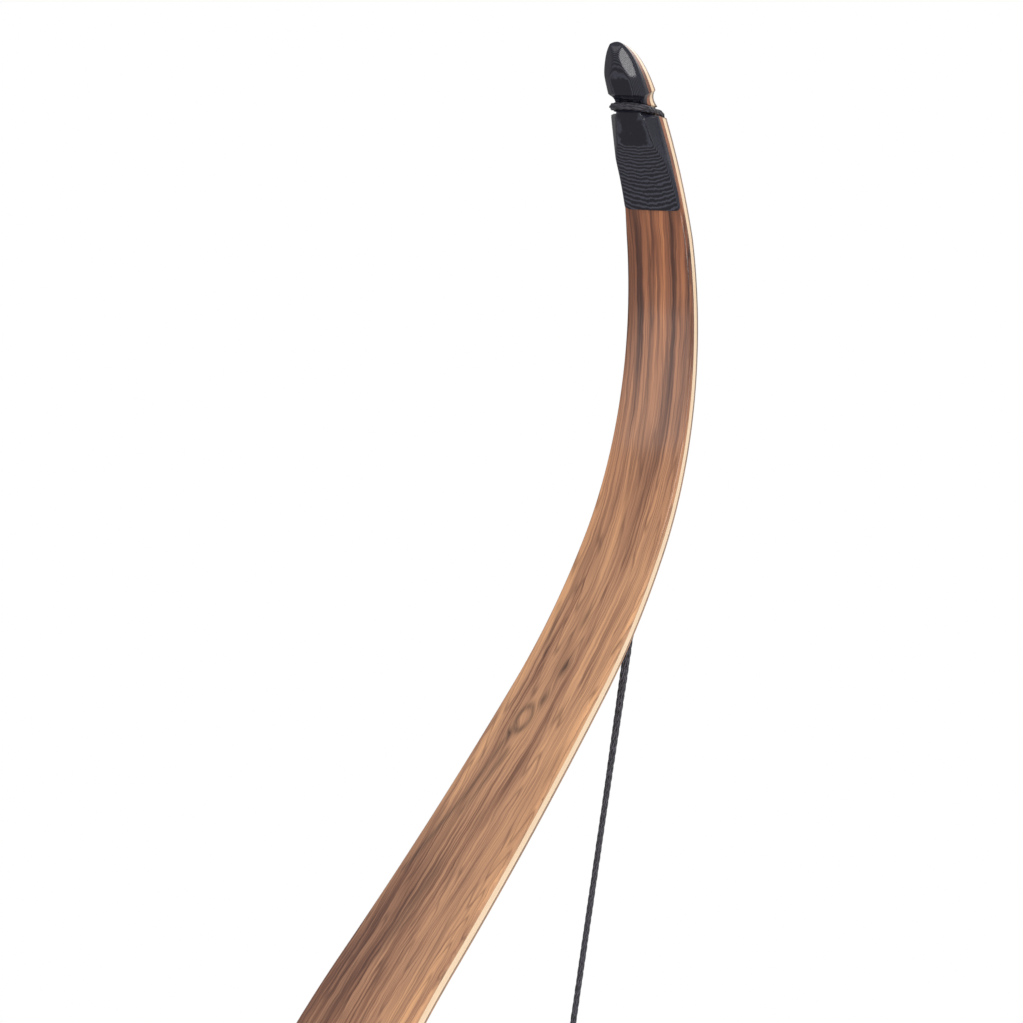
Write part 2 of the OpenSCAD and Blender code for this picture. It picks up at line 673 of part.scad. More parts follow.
// The loop comes up the belly, round one edge of the tip in its groove, over the back
// and down the other edge. Each point is its place across the limb, its depth below the
// back and its distance below the nock.
loop_top = -overlay_t - 0.15;
function in_groove(x, depth) = [x, depth, (depth + overlay_t) * tan(groove_slant)];
function loop_low(fall) = limb_t(nock_u - fall) + splice_r + string_gap;
LOOP_SIDE = [
    [0.7, loop_low(34), 34], [1.5, loop_low(30), 30], [2.2, loop_low(24), 24],
    [3.1, loop_low(18), 18], [4, loop_low(14.2), 14.2], [4.9, loop_low(11.2), 11.2],
    in_groove(groove_x - 0.2, loop_low(8) - 0.3), in_groove(groove_x, 4.2), in_groove(groove_x, 1.2),
    in_groove(groove_x, -1.8), [groove_x - 0.6, loop_top + 0.8, 0.4], [4, loop_top, -0.4],
    [2.2, loop_top - 0.1, -0.6]];
function loop_radius(i) = i == 0 ? loop_r / 3 : loop_r;
function loop_point(p) =
    let(q = limb_point(nock_u - p[2], p[1])) [p[0], q[0], q[1]];
LOOP_HALF = [for (p = LOOP_SIDE) loop_point(p)];
LOOP_ROUTE = concat(
    LOOP_HALF, [loop_point([0, loop_top - 0.1, -0.7])],
    [for (i = [len(LOOP_HALF) - 1:-1:0]) [-LOOP_HALF[i][0], LOOP_HALF[i][1], LOOP_HALF[i][2]]]);

LOOP_RADII = [for (i = [0:len(LOOP_ROUTE) - 1]) loop_radius(min(i, len(LOOP_ROUTE) - 1 - i))];

function unit(v) = v / norm(v);
function heading(route, i) =
    unit(route[min(i + 1, len(route) - 1)] - route[max(i - 1, 0)]);
// A frame that doesn't twist: each ring's side is the last one's, turned square to the route
function sides(route, i, last) =
    i == len(route) ? []
    : let(t = heading(route, i), side = unit(last - (last * t) * t))
        concat([side], sides(route, i + 1, side));
module tube(route, radii, first) {
    n = 8;
    rings = len(route);
    side = sides(route, 0, first);
    polyhedron(
        points = [for (i = [0:rings - 1]) let(t = heading(route, i), up = cross(t, side[i]))
            for (k = [0:n - 1])
                route[i] + radii[i] * (cos(45 * k) * side[i] + sin(45 * k) * up)],
        faces = concat(
            [[for (k = [0:n - 1]) n - 1 - k]],
            [for (i = [0:rings - 2], k = [0:n - 1], half = [0, 1])
                let(j = (k + 1) % n, low = i * n, high = low + n)
                half == 0 ? [low + k, low + j, high + j] : [low + k, high + j, high + k]],
            [[for (k = [0:n - 1]) (rings - 1) * n + k]]));
}
module bowstring() {
    color("#26262B") union() {
        tube([for (s = STRING_ROUTE) s[0]], [for (s = STRING_ROUTE) s[1]], [1, 0, 0]);
        tube(LOOP_ROUTE, LOOP_RADII, [1, 0, 0]);
        lower() tube(LOOP_ROUTE, LOOP_RADII, [1, 0, 0]);
    }
}
serving_r = string_r + serving_t;
nock_point_z = shelf_z + nock_point_rise;
module centre_serving() {
    color("#3A3A40") translate([0, string_y, nock_point_z - serving_len * 0.6]) difference() {
        cylinder(r = serving_r, h = serving_len);
        translate([0, 0, -1]) cylinder(r = string_r + eps, h = serving_len + 2);
    }
}
module nocking_point() {
    color("#C9A24A") translate([0, string_y, nock_point_z]) difference() {
        cylinder(r = serving_r + nock_point_t, h = nock_point_h);
        translate([0, 0, -1]) cylinder(r = serving_r + eps, h = nock_point_h + 2);
        translate([-0.4, 0, -1]) cube([0.8, big, nock_point_h + 2]);
    }
}

function path_length(route, i = 1) =
    i == len(route) ? 0 : norm(route[i] - route[i - 1]) + path_length(route, i + 1);
echo(brace_height = -string_y, nock_z = nock_z, tip_z = limb_point(end_u, 0)[1]);
echo(string_run = path_length([for (s = STRING_ROUTE) s[0]]), loop = path_length(LOOP_ROUTE));
echo(bolt_point = back_point(bolt_u), lean = lean(bolt_u), end_u = end_u, nock_lean = lean(nock_u));
echo(stabilizer_y = stabilizer_y, string_y = string_y, lift_u = lift_u, bed_z = bed_z, butt = butt, butt_t = butt_t);

riser_belly_block();
riser_rear_stripe();
riser_core();
riser_front_stripe();
riser_back_block();
pad_facing();  // upper_pad_facing
lower() pad_facing();  // lower_pad_facing
shelf_rug();
side_plate();
plunger_bushing();
stabilizer_bushing();
bolt_insert();  // upper_bolt_insert
lower() bolt_insert();  // lower_bolt_insert
locating_pin();  // upper_locating_pin
lower() locating_pin();  // lower_locating_pin
back_glass();  // upper_back_glass
back_veneer();  // upper_back_veneer
back_core();  // upper_back_core
butt_wedge();  // upper_butt_wedge
belly_core();  // upper_belly_core
belly_veneer();  // upper_belly_veneer
belly_glass();  // upper_belly_glass
butt_overlay();  // upper_butt_overlay
tip_overlay();  // upper_tip_overlay
lower() back_glass();  // lower_back_glass
lower() back_veneer();  // lower_back_veneer
lower() back_core();  // lower_back_core
lower() butt_wedge();  // lower_butt_wedge
lower() belly_core();  // lower_belly_core
lower() belly_veneer();  // lower_belly_veneer
lower() belly_glass();  // lower_belly_glass
lower() butt_overlay();  // lower_butt_overlay
lower() tip_overlay();  // lower_tip_overlay
bowstring();
centre_serving();
nocking_point();
bolt_washer();  // upper_bolt_washer
limb_bolt();  // upper_limb_bolt
lower() bolt_washer();  // lower_bolt_washer
lower() limb_bolt();  // lower_limb_bolt
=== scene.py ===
"""Looks of a strung take-down recurve bow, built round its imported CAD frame.

The classes hold their sizes in millimetres, as the CAD source does. Meshes are made in metres.
"""
import json
import logging
import math
from collections.abc import Callable
from dataclasses import dataclass, field
from enum import Enum

import bmesh
import bpy
import numpy as np
from mathutils import Matrix, Vector

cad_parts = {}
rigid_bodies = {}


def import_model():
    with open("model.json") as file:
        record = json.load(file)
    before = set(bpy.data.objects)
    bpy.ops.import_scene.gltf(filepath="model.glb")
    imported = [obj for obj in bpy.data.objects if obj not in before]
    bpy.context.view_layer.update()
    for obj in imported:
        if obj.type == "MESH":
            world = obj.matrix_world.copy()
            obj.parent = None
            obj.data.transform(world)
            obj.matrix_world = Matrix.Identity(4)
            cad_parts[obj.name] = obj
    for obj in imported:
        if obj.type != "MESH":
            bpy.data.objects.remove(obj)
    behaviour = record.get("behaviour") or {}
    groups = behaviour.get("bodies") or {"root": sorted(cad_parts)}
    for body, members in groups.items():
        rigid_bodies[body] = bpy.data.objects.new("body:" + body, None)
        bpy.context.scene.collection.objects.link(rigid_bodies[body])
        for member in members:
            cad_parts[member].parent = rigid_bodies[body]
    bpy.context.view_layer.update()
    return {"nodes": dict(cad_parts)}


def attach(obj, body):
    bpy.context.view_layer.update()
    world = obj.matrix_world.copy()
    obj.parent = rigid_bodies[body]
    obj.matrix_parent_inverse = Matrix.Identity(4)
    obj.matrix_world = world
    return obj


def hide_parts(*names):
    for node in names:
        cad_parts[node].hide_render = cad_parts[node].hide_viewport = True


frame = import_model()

LOG = logging.getLogger("bow")
MM = 0.001
# Points of a mesh that lie closer than this are one point, and shorter edges are none, in metres
MERGE_GAP = 2e-6
SHORT_EDGE = 1e-6
# Sections lie further apart than this, and layers thinner than the other have run out, in millimetres
SECTION_GAP = 0.01
LEAST_LAYER = 0.03
# The last section lies this much before the end of the limb, where it would be a mere line
END_GAP = 0.02
Pair = tuple[float, float]
Point = tuple[float, float, float]
Ring = list[Point]
Run = list[tuple[Point, float]]
Rule = Callable[[float, float, float], float]
Socket = bpy.types.NodeSocket
Inputs = dict[int | str, object]


class Side(Enum):
    """Which half of the bow a piece belongs to."""

    UPPER = 1
    LOWER = -1

    @property
    def word(self) -> str:
        """The word that the CAD nodes of this half start with."""
        return self.name.lower()


class Layer(Enum):
    """The layers of a limb, counted from its back."""

    BACK_GLASS = 0
    BACK_VENEER = 1
    BACK_CORE = 2
    BUTT_WEDGE = 3
    BELLY_CORE = 4
    BELLY_VENEER = 5
    BELLY_GLASS = 6


# ---- small tools ----


def linear(code: str) -> tuple[float, float, float, float]:
    """Turns an sRGB hex colour into linear light.

    Args:
        code: The colour, such as "#A27B68".

    Returns:
        Red, green, blue and an alpha of 1.
    """
    parts = [int(code[i : i + 2], 16) / 255 for i in (1, 3, 5)]
    red, green, blue = (v / 12.92 if v <= 0.04045 else ((v + 0.055) / 1.055) ** 2.4 for v in parts)
    return red, green, blue, 1.0


def ramp_between(x: float, x0: float, x1: float, y0: float, y1: float) -> float:
    """Runs from y0 to y1 as x runs from x0 to x1, and stays level outside."""
    return y0 + (y1 - y0) * min(1.0, max(0.0, (x - x0) / (x1 - x0)))


def spread(start: float, end: float, step: float) -> list[float]:
    """Places from start to end, evenly spaced and about a step apart."""
    count = max(1, round((end - start) / step))
    return [start + (end - start) * i / count for i in range(count + 1)]


def quarter(steps: int) -> list[float]:
    """Angles over a quarter turn, in radians, from 0 on."""
    return [math.pi / 2 * i / steps for i in range(steps + 1)]


def eased(radius: float, far: float) -> float:
    """How much a rounded edge takes off, at a distance from the face beside it."""
    return 0.0 if far >= radius else radius - math.sqrt(max(0.0, radius * radius - (radius - far) ** 2))


def soft_min(a: float, b: float, blend: float) -> float:
    """The lower of two heights, with the corner between them rounded."""
    return min(a, b) - max(blend - abs(a - b), 0.0) ** 2 / (4 * blend)


class Graph:
    """Adds nodes to a tree. An input takes a plain value, or a socket that feeds it."""

    def __init__(self, tree: bpy.types.NodeTree) -> None:
        """Takes the tree that gets the nodes."""
        self.tree = tree

    def feed(self, node: bpy.types.Node, inputs: Inputs) -> None:
        """Sets or links a node's inputs, by their names or numbers."""
        for key, value in inputs.items():
            if isinstance(value, Socket):
                self.tree.links.new(value, node.inputs[key])
            else:
                node.inputs[key].default_value = value

    def add(self, kind: str, inputs: Inputs | None = None, **settings: object) -> bpy.types.Node:
        """Adds a node.

        Args:
            kind: The node's type.
            inputs: Values or sockets by the name or number of the input.
            **settings: The node's own attributes, which are set first.

        Returns:
            The new node.
        """
        node = self.tree.nodes.new(kind)
        for key, value in settings.items():
            setattr(node, key, value)
        self.feed(node, inputs or {})
        return node

    def math(self, operation: str, *values: object, clamp: bool = False) -> Socket:
        """Works on up to three numbers."""
        node = self.add("ShaderNodeMath", dict(enumerate(values)), operation=operation, use_clamp=clamp)
        return node.outputs[0]

    def vector(self, operation: str, *values: object) -> Socket:
        """Works on vectors. A length and a dot product come out as a number."""
        node = self.add("ShaderNodeVectorMath", dict(enumerate(values)), operation=operation)
        return node.outputs["Value" if operation in ("DOT_PRODUCT", "LENGTH") else "Vector"]

    def scaled(self, vector: object, factor: Socket) -> Socket:
        """Stretches a vector by a number."""
        return self.add("ShaderNodeVectorMath", {0: vector, "Scale": factor}, operation="SCALE").outputs[0]

    def joined(self, x: Socket, y: object = 0.0, z: object = 0.0) -> Socket:
        """Makes a vector of its three parts."""
        return self.add("ShaderNodeCombineXYZ", {0: x, 1: y, 2: z}).outputs[0]

    def carried(self, name: str) -> tuple[Socket, bpy.types.NodeOutputs]:
        """Reads a vector that the mesh carries, as a whole and in its parts."""
        whole = self.add("ShaderNodeAttribute", attribute_name=name).outputs["Vector"]
        return whole, self.add("ShaderNodeSeparateXYZ", {0: whole}).outputs

    def spot(self) -> Socket:
        """Reads the place in the piece's own coordinates, in metres."""
        return self.add("ShaderNodeTexCoord").outputs["Object"]

    def noise(
        self, place: Socket, scale: Point, detail: float, rough: float = 0.5, out: str = "Fac"
    ) -> Socket:
        """Adds a noise field.

        Args:
            place: Where it is read.
            scale: How many of its waves lie on a unit of length, along each axis.
            detail: How many finer fields lie over it.
            rough: How strong those are.
            out: The output that is wanted.

        Returns:
            That output.
        """
        spot = self.vector("MULTIPLY", place, scale)
        sizes = {"Vector": spot, "Scale": 1.0, "Detail": detail, "Roughness": rough}
        return self.add("ShaderNodeTexNoise", sizes).outputs[out]

    def map(self, value: Socket, low: float, high: float, start: float = 0.0, end: float = 1.0) -> Socket:
        """Runs from start to end as a value runs from low to high, and stays level outside."""
        ranges = {"Value": value, "From Min": low, "From Max": high, "To Min": start, "To Max": end}
        return self.add("ShaderNodeMapRange", ranges).outputs[0]

    def mix(self, share: object, under: object, over: object, blend: str = "MIX") -> Socket:
        """Lays a colour over another one by a share."""
        colours = {0: share, 6: under, 7: over}
        return self.add("ShaderNodeMix", colours, data_type="RGBA", blend_type=blend).outputs[2]

    def ramp(self, share: Socket, *stops: tuple[float, str | float]) -> Socket:
        """Runs through colours or grey levels, each with its place from 0 to 1."""
        node = self.add("ShaderNodeValToRGB", {0: share})
        elements = node.color_ramp.elements
        while len(elements) < len(stops):
            elements.new(0.5)
        for element, (place, colour) in zip(elements, stops):
            element.position = place
            element.color = linear(colour) if isinstance(colour, str) else (colour,) * 3 + (1.0,)
        return node.outputs[0]

    def bump(self, height: Socket, strength: float, distance: float) -> Socket:
        """Turns a height into a normal. The distance is in metres."""
        inputs = {"Height": height, "Strength": strength, "Distance": distance}
        return self.add("ShaderNodeBump", inputs).outputs[0]


# ---- finishes ----


@dataclass(frozen=True)
class Finish:
    """A material that is made once, under its own name."""

    name: str

    def material(self) -> bpy.types.Material:
        """Makes the material, or hands back the one made before."""
        made = bpy.data.materials.get(self.name)
        if made:
            return made
        made = bpy.data.materials.new(self.name)
        made.use_nodes = True
        made.node_tree.nodes.clear()
        graph = Graph(made.node_tree)
        shader = graph.add("ShaderNodeBsdfPrincipled", self.dress(graph))
        graph.add("ShaderNodeOutputMaterial", {0: shader.outputs[0]})
        return made

    def dress(self, graph: Graph) -> Inputs:
        """What the shader's inputs get, by their names. Each finish has its own way."""
        raise NotImplementedError


@dataclass(frozen=True)
class Mark:
    """A dark mark in the figure: a line, a spot or, with a radius, a ring. Places are across and along."""

    start: Pair
    end: Pair
    width: float
    dark: float
    radius: float = 0.0
    squeeze: float = 0.35


@dataclass(frozen=True)
class FiguredVeneer(Finish):
    """Walnut-like veneer under clear fibreglass laminate: orange and grey-brown streaks, wet gloss."""

    low_stops: tuple[tuple[float, str], ...] = (
        (0.1, "#5C382B"), (0.3, "#8C6048"), (0.5, "#B38464"), (0.7, "#C9966F"), (0.9, "#DCA577"),
    )
    high_stops: tuple[tuple[float, str], ...] = (
        (0.1, "#381F18"), (0.3, "#623D2E"), (0.5, "#8B5840"), (0.7, "#AE704D"), (0.9, "#C38359"),
    )
    foot_bands: tuple[Pair, ...] = (
        (-20.0, 0.7), (-13.0, 0.6), (-6.0, 0.5), (0.0, 0.4), (6.0, 0.38), (20.0, 0.37),
    )
    middle_bands: tuple[Pair, ...] = (
        (-15.0, 0.7), (-8.0, 0.58), (-2.5, 0.42), (2.5, 0.66), (6.0, 0.48), (11.0, 0.55), (16.0, 0.7),
    )
    tip_bands: tuple[Pair, ...] = (
        (-11.0, 0.38), (-9.2, 0.62), (-5.5, 0.3), (-2.2, 0.72), (1.0, 0.5), (5.2, 0.52), (7.0, 0.26),
        (10.5, 0.4),
    )
    board_w: float = 48.0
    middle_seam: Pair = (290.0, 350.0)
    tip_seam: Pair = (455.0, 520.0)
    rough: float = 0.55
    marks: tuple[Mark, ...] = ()
    eyes: tuple[Point, ...] = ()

    def weight(self, graph: Graph, flow: Socket, mark: Mark) -> Socket:
        """Works out how strongly a mark darkens a point.

        Args:
            graph: The material's tree.
            flow: Places across and along the limb.
            mark: The mark.

        Returns:
            The darkness from 0 to 1.
        """
        squeeze = Vector((1.0, mark.squeeze, 0.0))
        reach = (Vector((*mark.end, 0.0)) - Vector((*mark.start, 0.0))) * squeeze
        flat = graph.vector("MULTIPLY", graph.vector("SUBTRACT", flow, (*mark.start, 0.0)), squeeze)
        if reach.length > 0:
            dot = graph.vector("DOT_PRODUCT", flat, reach / reach.length_squared)
            share = graph.add("ShaderNodeClamp", {0: dot}).outputs[0]
            flat = graph.vector("SUBTRACT", flat, graph.scaled(reach, share))
        far = graph.vector("LENGTH", flat)
        off = graph.math("MULTIPLY_ADD", far, 1 / mark.width, -mark.radius / mark.width)
        bell = graph.math("EXPONENT", graph.math("MULTIPLY", graph.math("MULTIPLY", off, off), -1.0))
        return graph.math("MULTIPLY", bell, mark.dark)

    def banded(self, graph: Graph, across: Socket, along: Socket) -> Socket:
        """Lays the light and dark bands of the board side by side, and blends the zones of the limb.

        Args:
            graph: The material's tree.
            across: Places across the limb, as the grain runs.
            along: Distances along it.

        Returns:
            A tone from 0 to 1.
        """
        share = graph.math("MULTIPLY_ADD", across, 1 / self.board_w, 0.5)
        foot, middle, tip = (
            graph.ramp(share, *((x / self.board_w + 0.5, tone) for x, tone in bands))
            for bands in (self.foot_bands, self.middle_bands, self.tip_bands)
        )
        low = graph.mix(graph.map(along, *self.middle_seam), foot, middle)
        return graph.mix(graph.map(along, *self.tip_seam), low, tip)

    def marked(self, graph: Graph, wood: Socket, place: Socket, streaks: Socket) -> Socket:
        """Darkens the wood where its marks are.

        Args:
            graph: The material's tree.
            wood: The colour so far.
            place: Places across and along the limb, which wander with the grain.
            streaks: The streaks that break a mark up.

        Returns:
            The new colour.
        """
        dark, *others = (self.weight(graph, place, mark) for mark in self.marks)
        for weight in others:
            dark = graph.math("MAXIMUM", dark, weight)
        broken = graph.map(streaks, 0.7, 0.3, 0.45, 1.0)
        return graph.mix(graph.math("MULTIPLY", dark, broken), wood, linear("#33231F"))

    def dress(self, graph: Graph) -> Inputs:
        """Draws bands, streaks, pore lines and marks in millimetres across and along the limb."""
        flow, parts = graph.carried("flow")
        across, along, depth = parts[0], parts[1], parts[2]
        for x, u, size in self.eyes:
            # The grain parts round an eye, so that less of it lies across its middle
            pull = self.weight(graph, flow, Mark((x, u), (x, u), size, 0.75))
            bend = graph.math("MULTIPLY", graph.math("SUBTRACT", parts[0], x), pull)
            across = graph.math("SUBTRACT", across, bend)
        bent = graph.joined(across, along, depth)
        # The grain sways 1.2 mm to a side over about 90 mm, and trembles by 0.3 mm over 8 mm
        sway = graph.noise(bent, (0.02, 0.011, 0.05), 2.0, self.rough)
        tremble = graph.noise(bent, (0.3, 0.12, 0.1), 1.0, self.rough)
        wander = graph.math("MULTIPLY_ADD", tremble, 0.9, graph.math("MULTIPLY_ADD", sway, 4.4, -2.5))
        grain = graph.math("ADD", across, wander)
        place = graph.joined(grain, along, depth)
        # Soft streaks 1 mm wide and fibres 0.25 mm wide, over the bands of the board
        bands = graph.noise(place, (0.26, 0.0095, 0.2), 2.0, self.rough)
        streaks = graph.noise(place, (1.1, 0.011, 0.4), 3.0, 0.6)
        fibres = graph.noise(place, (4.2, 0.028, 1.0), 3.0, 0.7)
        tone = self.banded(graph, grain, along)
        for texture, much in ((bands, 0.8), (streaks, 0.95), (fibres, 0.65)):
            tone = graph.math("ADD", tone, graph.math("MULTIPLY_ADD", texture, much, -much / 2))
        # The board is redder and darker towards the tip
        low, high = (graph.ramp(tone, *stops) for stops in (self.low_stops, self.high_stops))
        wood = graph.mix(graph.map(along, 425.0, 535.0), low, high)
        # It is greyer in patches 6 mm wide and 60 mm long, and on one side towards the riser
        patches = graph.noise(place, (0.16, 0.02, 0.1), 1.0, self.rough)
        root = graph.math("MULTIPLY", graph.map(grain, 0.0, 14.0, 0.0, 0.55), graph.map(along, 330.0, 270.0))
        dull = graph.math("MAXIMUM", graph.map(patches, 0.52, 0.72, 0.0, 0.5), root)
        wood = graph.mix(dull, wood, linear("#B5AAB0"), "MULTIPLY")
        # Pores show as short dark lines 0.3 mm wide
        pores = graph.noise(place, (3.4, 0.05, 1.0), 2.0)
        wood = graph.mix(graph.map(pores, 0.34, 0.24, 0.0, 0.55), wood, linear("#4A1F14"))
        # Growth rings cut at a low angle: thin dark lines that run with the grain and close in loops
        rings = graph.noise(place, (0.15, 0.005, 0.1), 1.0, self.rough)
        vein = graph.map(graph.math("PINGPONG", rings, 0.03), 0.011, 0.001, 0.0, 0.42)
        wood = graph.mix(vein, wood, linear("#4C2E26"))
        if self.marks:
            swayed = graph.vector("MULTIPLY_ADD", graph.joined(wander), (0.45, 0.0, 0.0), flow)
            wood = self.marked(graph, wood, swayed, streaks)
        # The laminate shows a faint orange peel, here 6 mm wide and 0.02 mm deep
        peel = graph.noise(flow, (0.16, 0.16, 0.16), 1.0, self.rough)
        return {
            "Base Color": wood, "Roughness": 0.45, "Specular IOR Level": 0.2, "Coat Weight": 0.6,
            "Coat Roughness": 0.16, "Coat IOR": 1.5, "Coat Normal": graph.bump(peel, 0.25, 0.00004),
        }


@dataclass(frozen=True)
class EdgeGrain(Finish):
    """A lacquered edge of a wood layer: long fine lines, with colours set by the depth in the limb."""

    stops: tuple[tuple[float, str], ...]
    line: str
    line_share: float = 0.4

    def dress(self, graph: Graph) -> Inputs:
        """Draws lines 0.5 mm wide that run along the limb over the layer's own colours."""
        flow, parts = graph.carried("flow")
        depth = graph.math("MULTIPLY", parts[2], 0.1, clamp=True)
        base = graph.ramp(depth, *((place / 10, colour) for place, colour in self.stops))
        share = graph.map(graph.noise(flow, (1.2, 0.02, 2.0), 3.0), 0.45, 0.68, 0.0, self.line_share)
        colour = graph.mix(share, base, linear(self.line))
        return {"Base Color": colour, "Roughness": 0.45, "Coat Weight": 0.7, "Coat Roughness": 0.12}


@dataclass(frozen=True)
class LinenLaminate(Finish):
    """Black linen-phenolic laminate, sanded and oiled: cut through at a slant it shows contour lines."""

    dark: str = "#161620"
    light: str = "#454552"
    pitch: float = 0.235

    def dress(self, graph: Graph) -> Inputs:
        """Draws a light line at each layer of cloth, by the height above the limb's back."""
        flow, parts = graph.carried("flow")
        # The cloth layers wander by up to 0.3 mm over 2 to 5 mm
        shift = graph.math("MULTIPLY", graph.noise(flow, (0.38, 0.3, 0.0), 3.0), 0.3)
        height = graph.math("SUBTRACT", shift, parts[2])
        wave = graph.math("SINE", graph.math("MULTIPLY", height, 2 * math.pi / self.pitch))
        fibre = graph.noise(flow, (3.0, 1.1, 1.5), 2.0)
        level = graph.map(graph.math("MULTIPLY", wave, fibre), -0.1, 0.5)
        # The lines crowd on the ramp and grow faint on the flatter top
        faint = graph.map(parts[1], 573.0, 583.0, 1.0, 0.65)
        colour = graph.mix(graph.math("MULTIPLY", level, faint), linear(self.dark), linear(self.light))
        return {
            "Base Color": colour, "Roughness": 0.22, "Specular IOR Level": 0.4,
            "Normal": graph.bump(wave, 0.06, 0.00004),
        }


@dataclass(frozen=True)
class ClearEdge(Finish):
    """The sawn edge of clear fibreglass laminate: milky and glossy, and it takes on what lies behind."""

    dark: str = "#B9AC9B"
    light: str = "#E3DDD3"

    def dress(self, graph: Graph) -> Inputs:
        """Draws fine glass rovings, 0.3 mm apart, in the milky edge."""
        rovings = graph.noise(graph.carried("flow")[0], (3.0, 0.03, 3.0), 2.0)
        colour = graph.ramp(rovings, (0.35, self.dark), (0.55, self.light))
        return {"Base Color": colour, "Roughness": 0.25, "Coat Weight": 0.8, "Coat Roughness": 0.08}


@dataclass(frozen=True)
class WaxedTwist(Finish):
    """Waxed polyester bowstring strands: near black, with a painted waxy sheen along each yarn."""

    dark: str = "#0D0D12"
    # The light tone is painted sheen along the yarns and painted glints on the fibres
    light: str = "#5A5762"
    yarns: int = 5
    yarn_pitch: float = 3.2

    def dress(self, graph: Graph) -> Inputs:
        """Draws yarns round each strand, from how far along and round it a point lies, and paints their sheen
        and fibre glints into the colour.
        """
        lay, parts = graph.carried("lay")
        run = graph.math("MULTIPLY", parts[0], 1000 * 2 * math.pi / self.yarn_pitch)
        # The yarns' wave shapes the bump, and in the colour it lightens each yarn as painted sheen
        wave = graph.math("SINE", graph.math("MULTIPLY_ADD", parts[1], self.yarns * 2 * math.pi, run))
        # Painted highlights: fibres 2 mm long are lightened here and there, as glints where they catch the
        # light
        painted_yarn_sheen = graph.math("MULTIPLY_ADD", wave, 0.2, graph.noise(lay, (500.0, 10.0, 1.0), 3.0))
        colour = graph.ramp(painted_yarn_sheen, (0.42, self.dark), (0.72, self.light))
        return {"Base Color": colour, "Roughness": 0.5, "Normal": graph.bump(wave, 0.5, 0.0001)}


@dataclass(frozen=True)
class Metal(Finish):
    """A turned or plated metal: its colour, how worn patches look, and how dull it is."""

    colour: str
    worn: str
    roughness: float

    def dress(self, graph: Graph) -> Inputs:
        """Draws patches 3 mm wide that differ a little in colour and in gloss."""
        patches = graph.noise(graph.spot(), (330.0, 330.0, 330.0), 4.0, 0.65)
        rough = graph.map(patches, 0.0, 1.0, self.roughness - 0.06, self.roughness + 0.08)
        colour = graph.ramp(patches, (0.4, self.colour), (0.7, self.worn))
        return {"Base Color": colour, "Roughness": rough, "Metallic": 1.0}


@dataclass(frozen=True)
class Hide(Finish):
    """Leather or felted pile: dull, with a pebbled or fibrous surface."""

    # The dark tone lies in the creases as painted shade, and among the fibres
    dark: str
    light: str
    grain: float
    sheen: float

    def dress(self, graph: Graph) -> Inputs:
        """Draws pebbles of the grain's size, in millimetres, with painted shade darkening the creases between
        them.
        """
        spot = graph.spot()
        cells = graph.add("ShaderNodeTexVoronoi", {"Scale": 1000 / self.grain, "Vector": spot})
        fibres = graph.noise(spot, (180.0, 180.0, 180.0), 4.0)
        # The creases sink in the bump and are darkened in the colour as painted shade; the fibres vary the
        # tone
        both = graph.math("MULTIPLY_ADD", cells.outputs["Distance"], -0.35, fibres)
        return {
            "Base Color": graph.ramp(both, (0.15, self.dark), (0.6, self.light)), "Roughness": 0.75,
            "Sheen Weight": self.sheen, "Normal": graph.bump(both, 0.6, 0.00012),
        }


@dataclass(frozen=True)
class SatinHardwood(Finish):
    """Hand-rubbed hardwood with an oil finish: figure along the riser, short pores and a soft shine."""

    dark: str = "#5E3524"
    middle: str = "#8A5638"
    light: str = "#A8714B"
    pores: float = 1.0

    def dress(self, graph: Graph) -> Inputs:
        """Draws growth bands 5 mm apart, pores 4 mm long and a cross figure 12 mm apart."""
        spot = graph.spot()
        sway = graph.noise(spot, (18.0, 18.0, 5.0), 2.0, out="Color")
        bent = graph.vector("MULTIPLY_ADD", sway, (0.03, 0.03, 0.0), spot)
        growth = graph.noise(bent, (170.0, 170.0, 6.0), 3.0)
        open_pores = graph.noise(bent, (1600.0, 1600.0, 60.0), 2.0)
        cross = graph.noise(bent, (25.0, 25.0, 80.0), 1.0)
        bands = graph.ramp(growth, (0.35, self.dark), (0.5, self.middle), (0.66, self.light))
        shade = graph.ramp(open_pores, (0.3, 1 - 0.5 * self.pores), (0.42, 1.0))
        pored = graph.mix(1.0, bands, shade, "MULTIPLY")
        return {
            "Base Color": graph.scaled(pored, graph.map(cross, 0.0, 1.0, 0.86, 1.14)), "Roughness": 0.38,
            "Coat Weight": 0.25, "Coat Roughness": 0.25, "Normal": graph.bump(open_pores, 0.3, 0.00004),
        }


@dataclass(frozen=True)
class Phenolic(Finish):
    """Black phenolic sheet, sanded fine: near black with the faintest lines of its layers."""

    dark: str = "#1D1D23"
    light: str = "#34343D"

    def dress(self, graph: Graph) -> Inputs:
        """Draws layer lines 0.4 mm apart along the bow, and specks of paper fibre."""
        layers = graph.noise(graph.spot(), (900.0, 2500.0, 25.0), 3.0)
        return {"Base Color": graph.ramp(layers, (0.4, self.dark), (0.65, self.light)), "Roughness": 0.36}


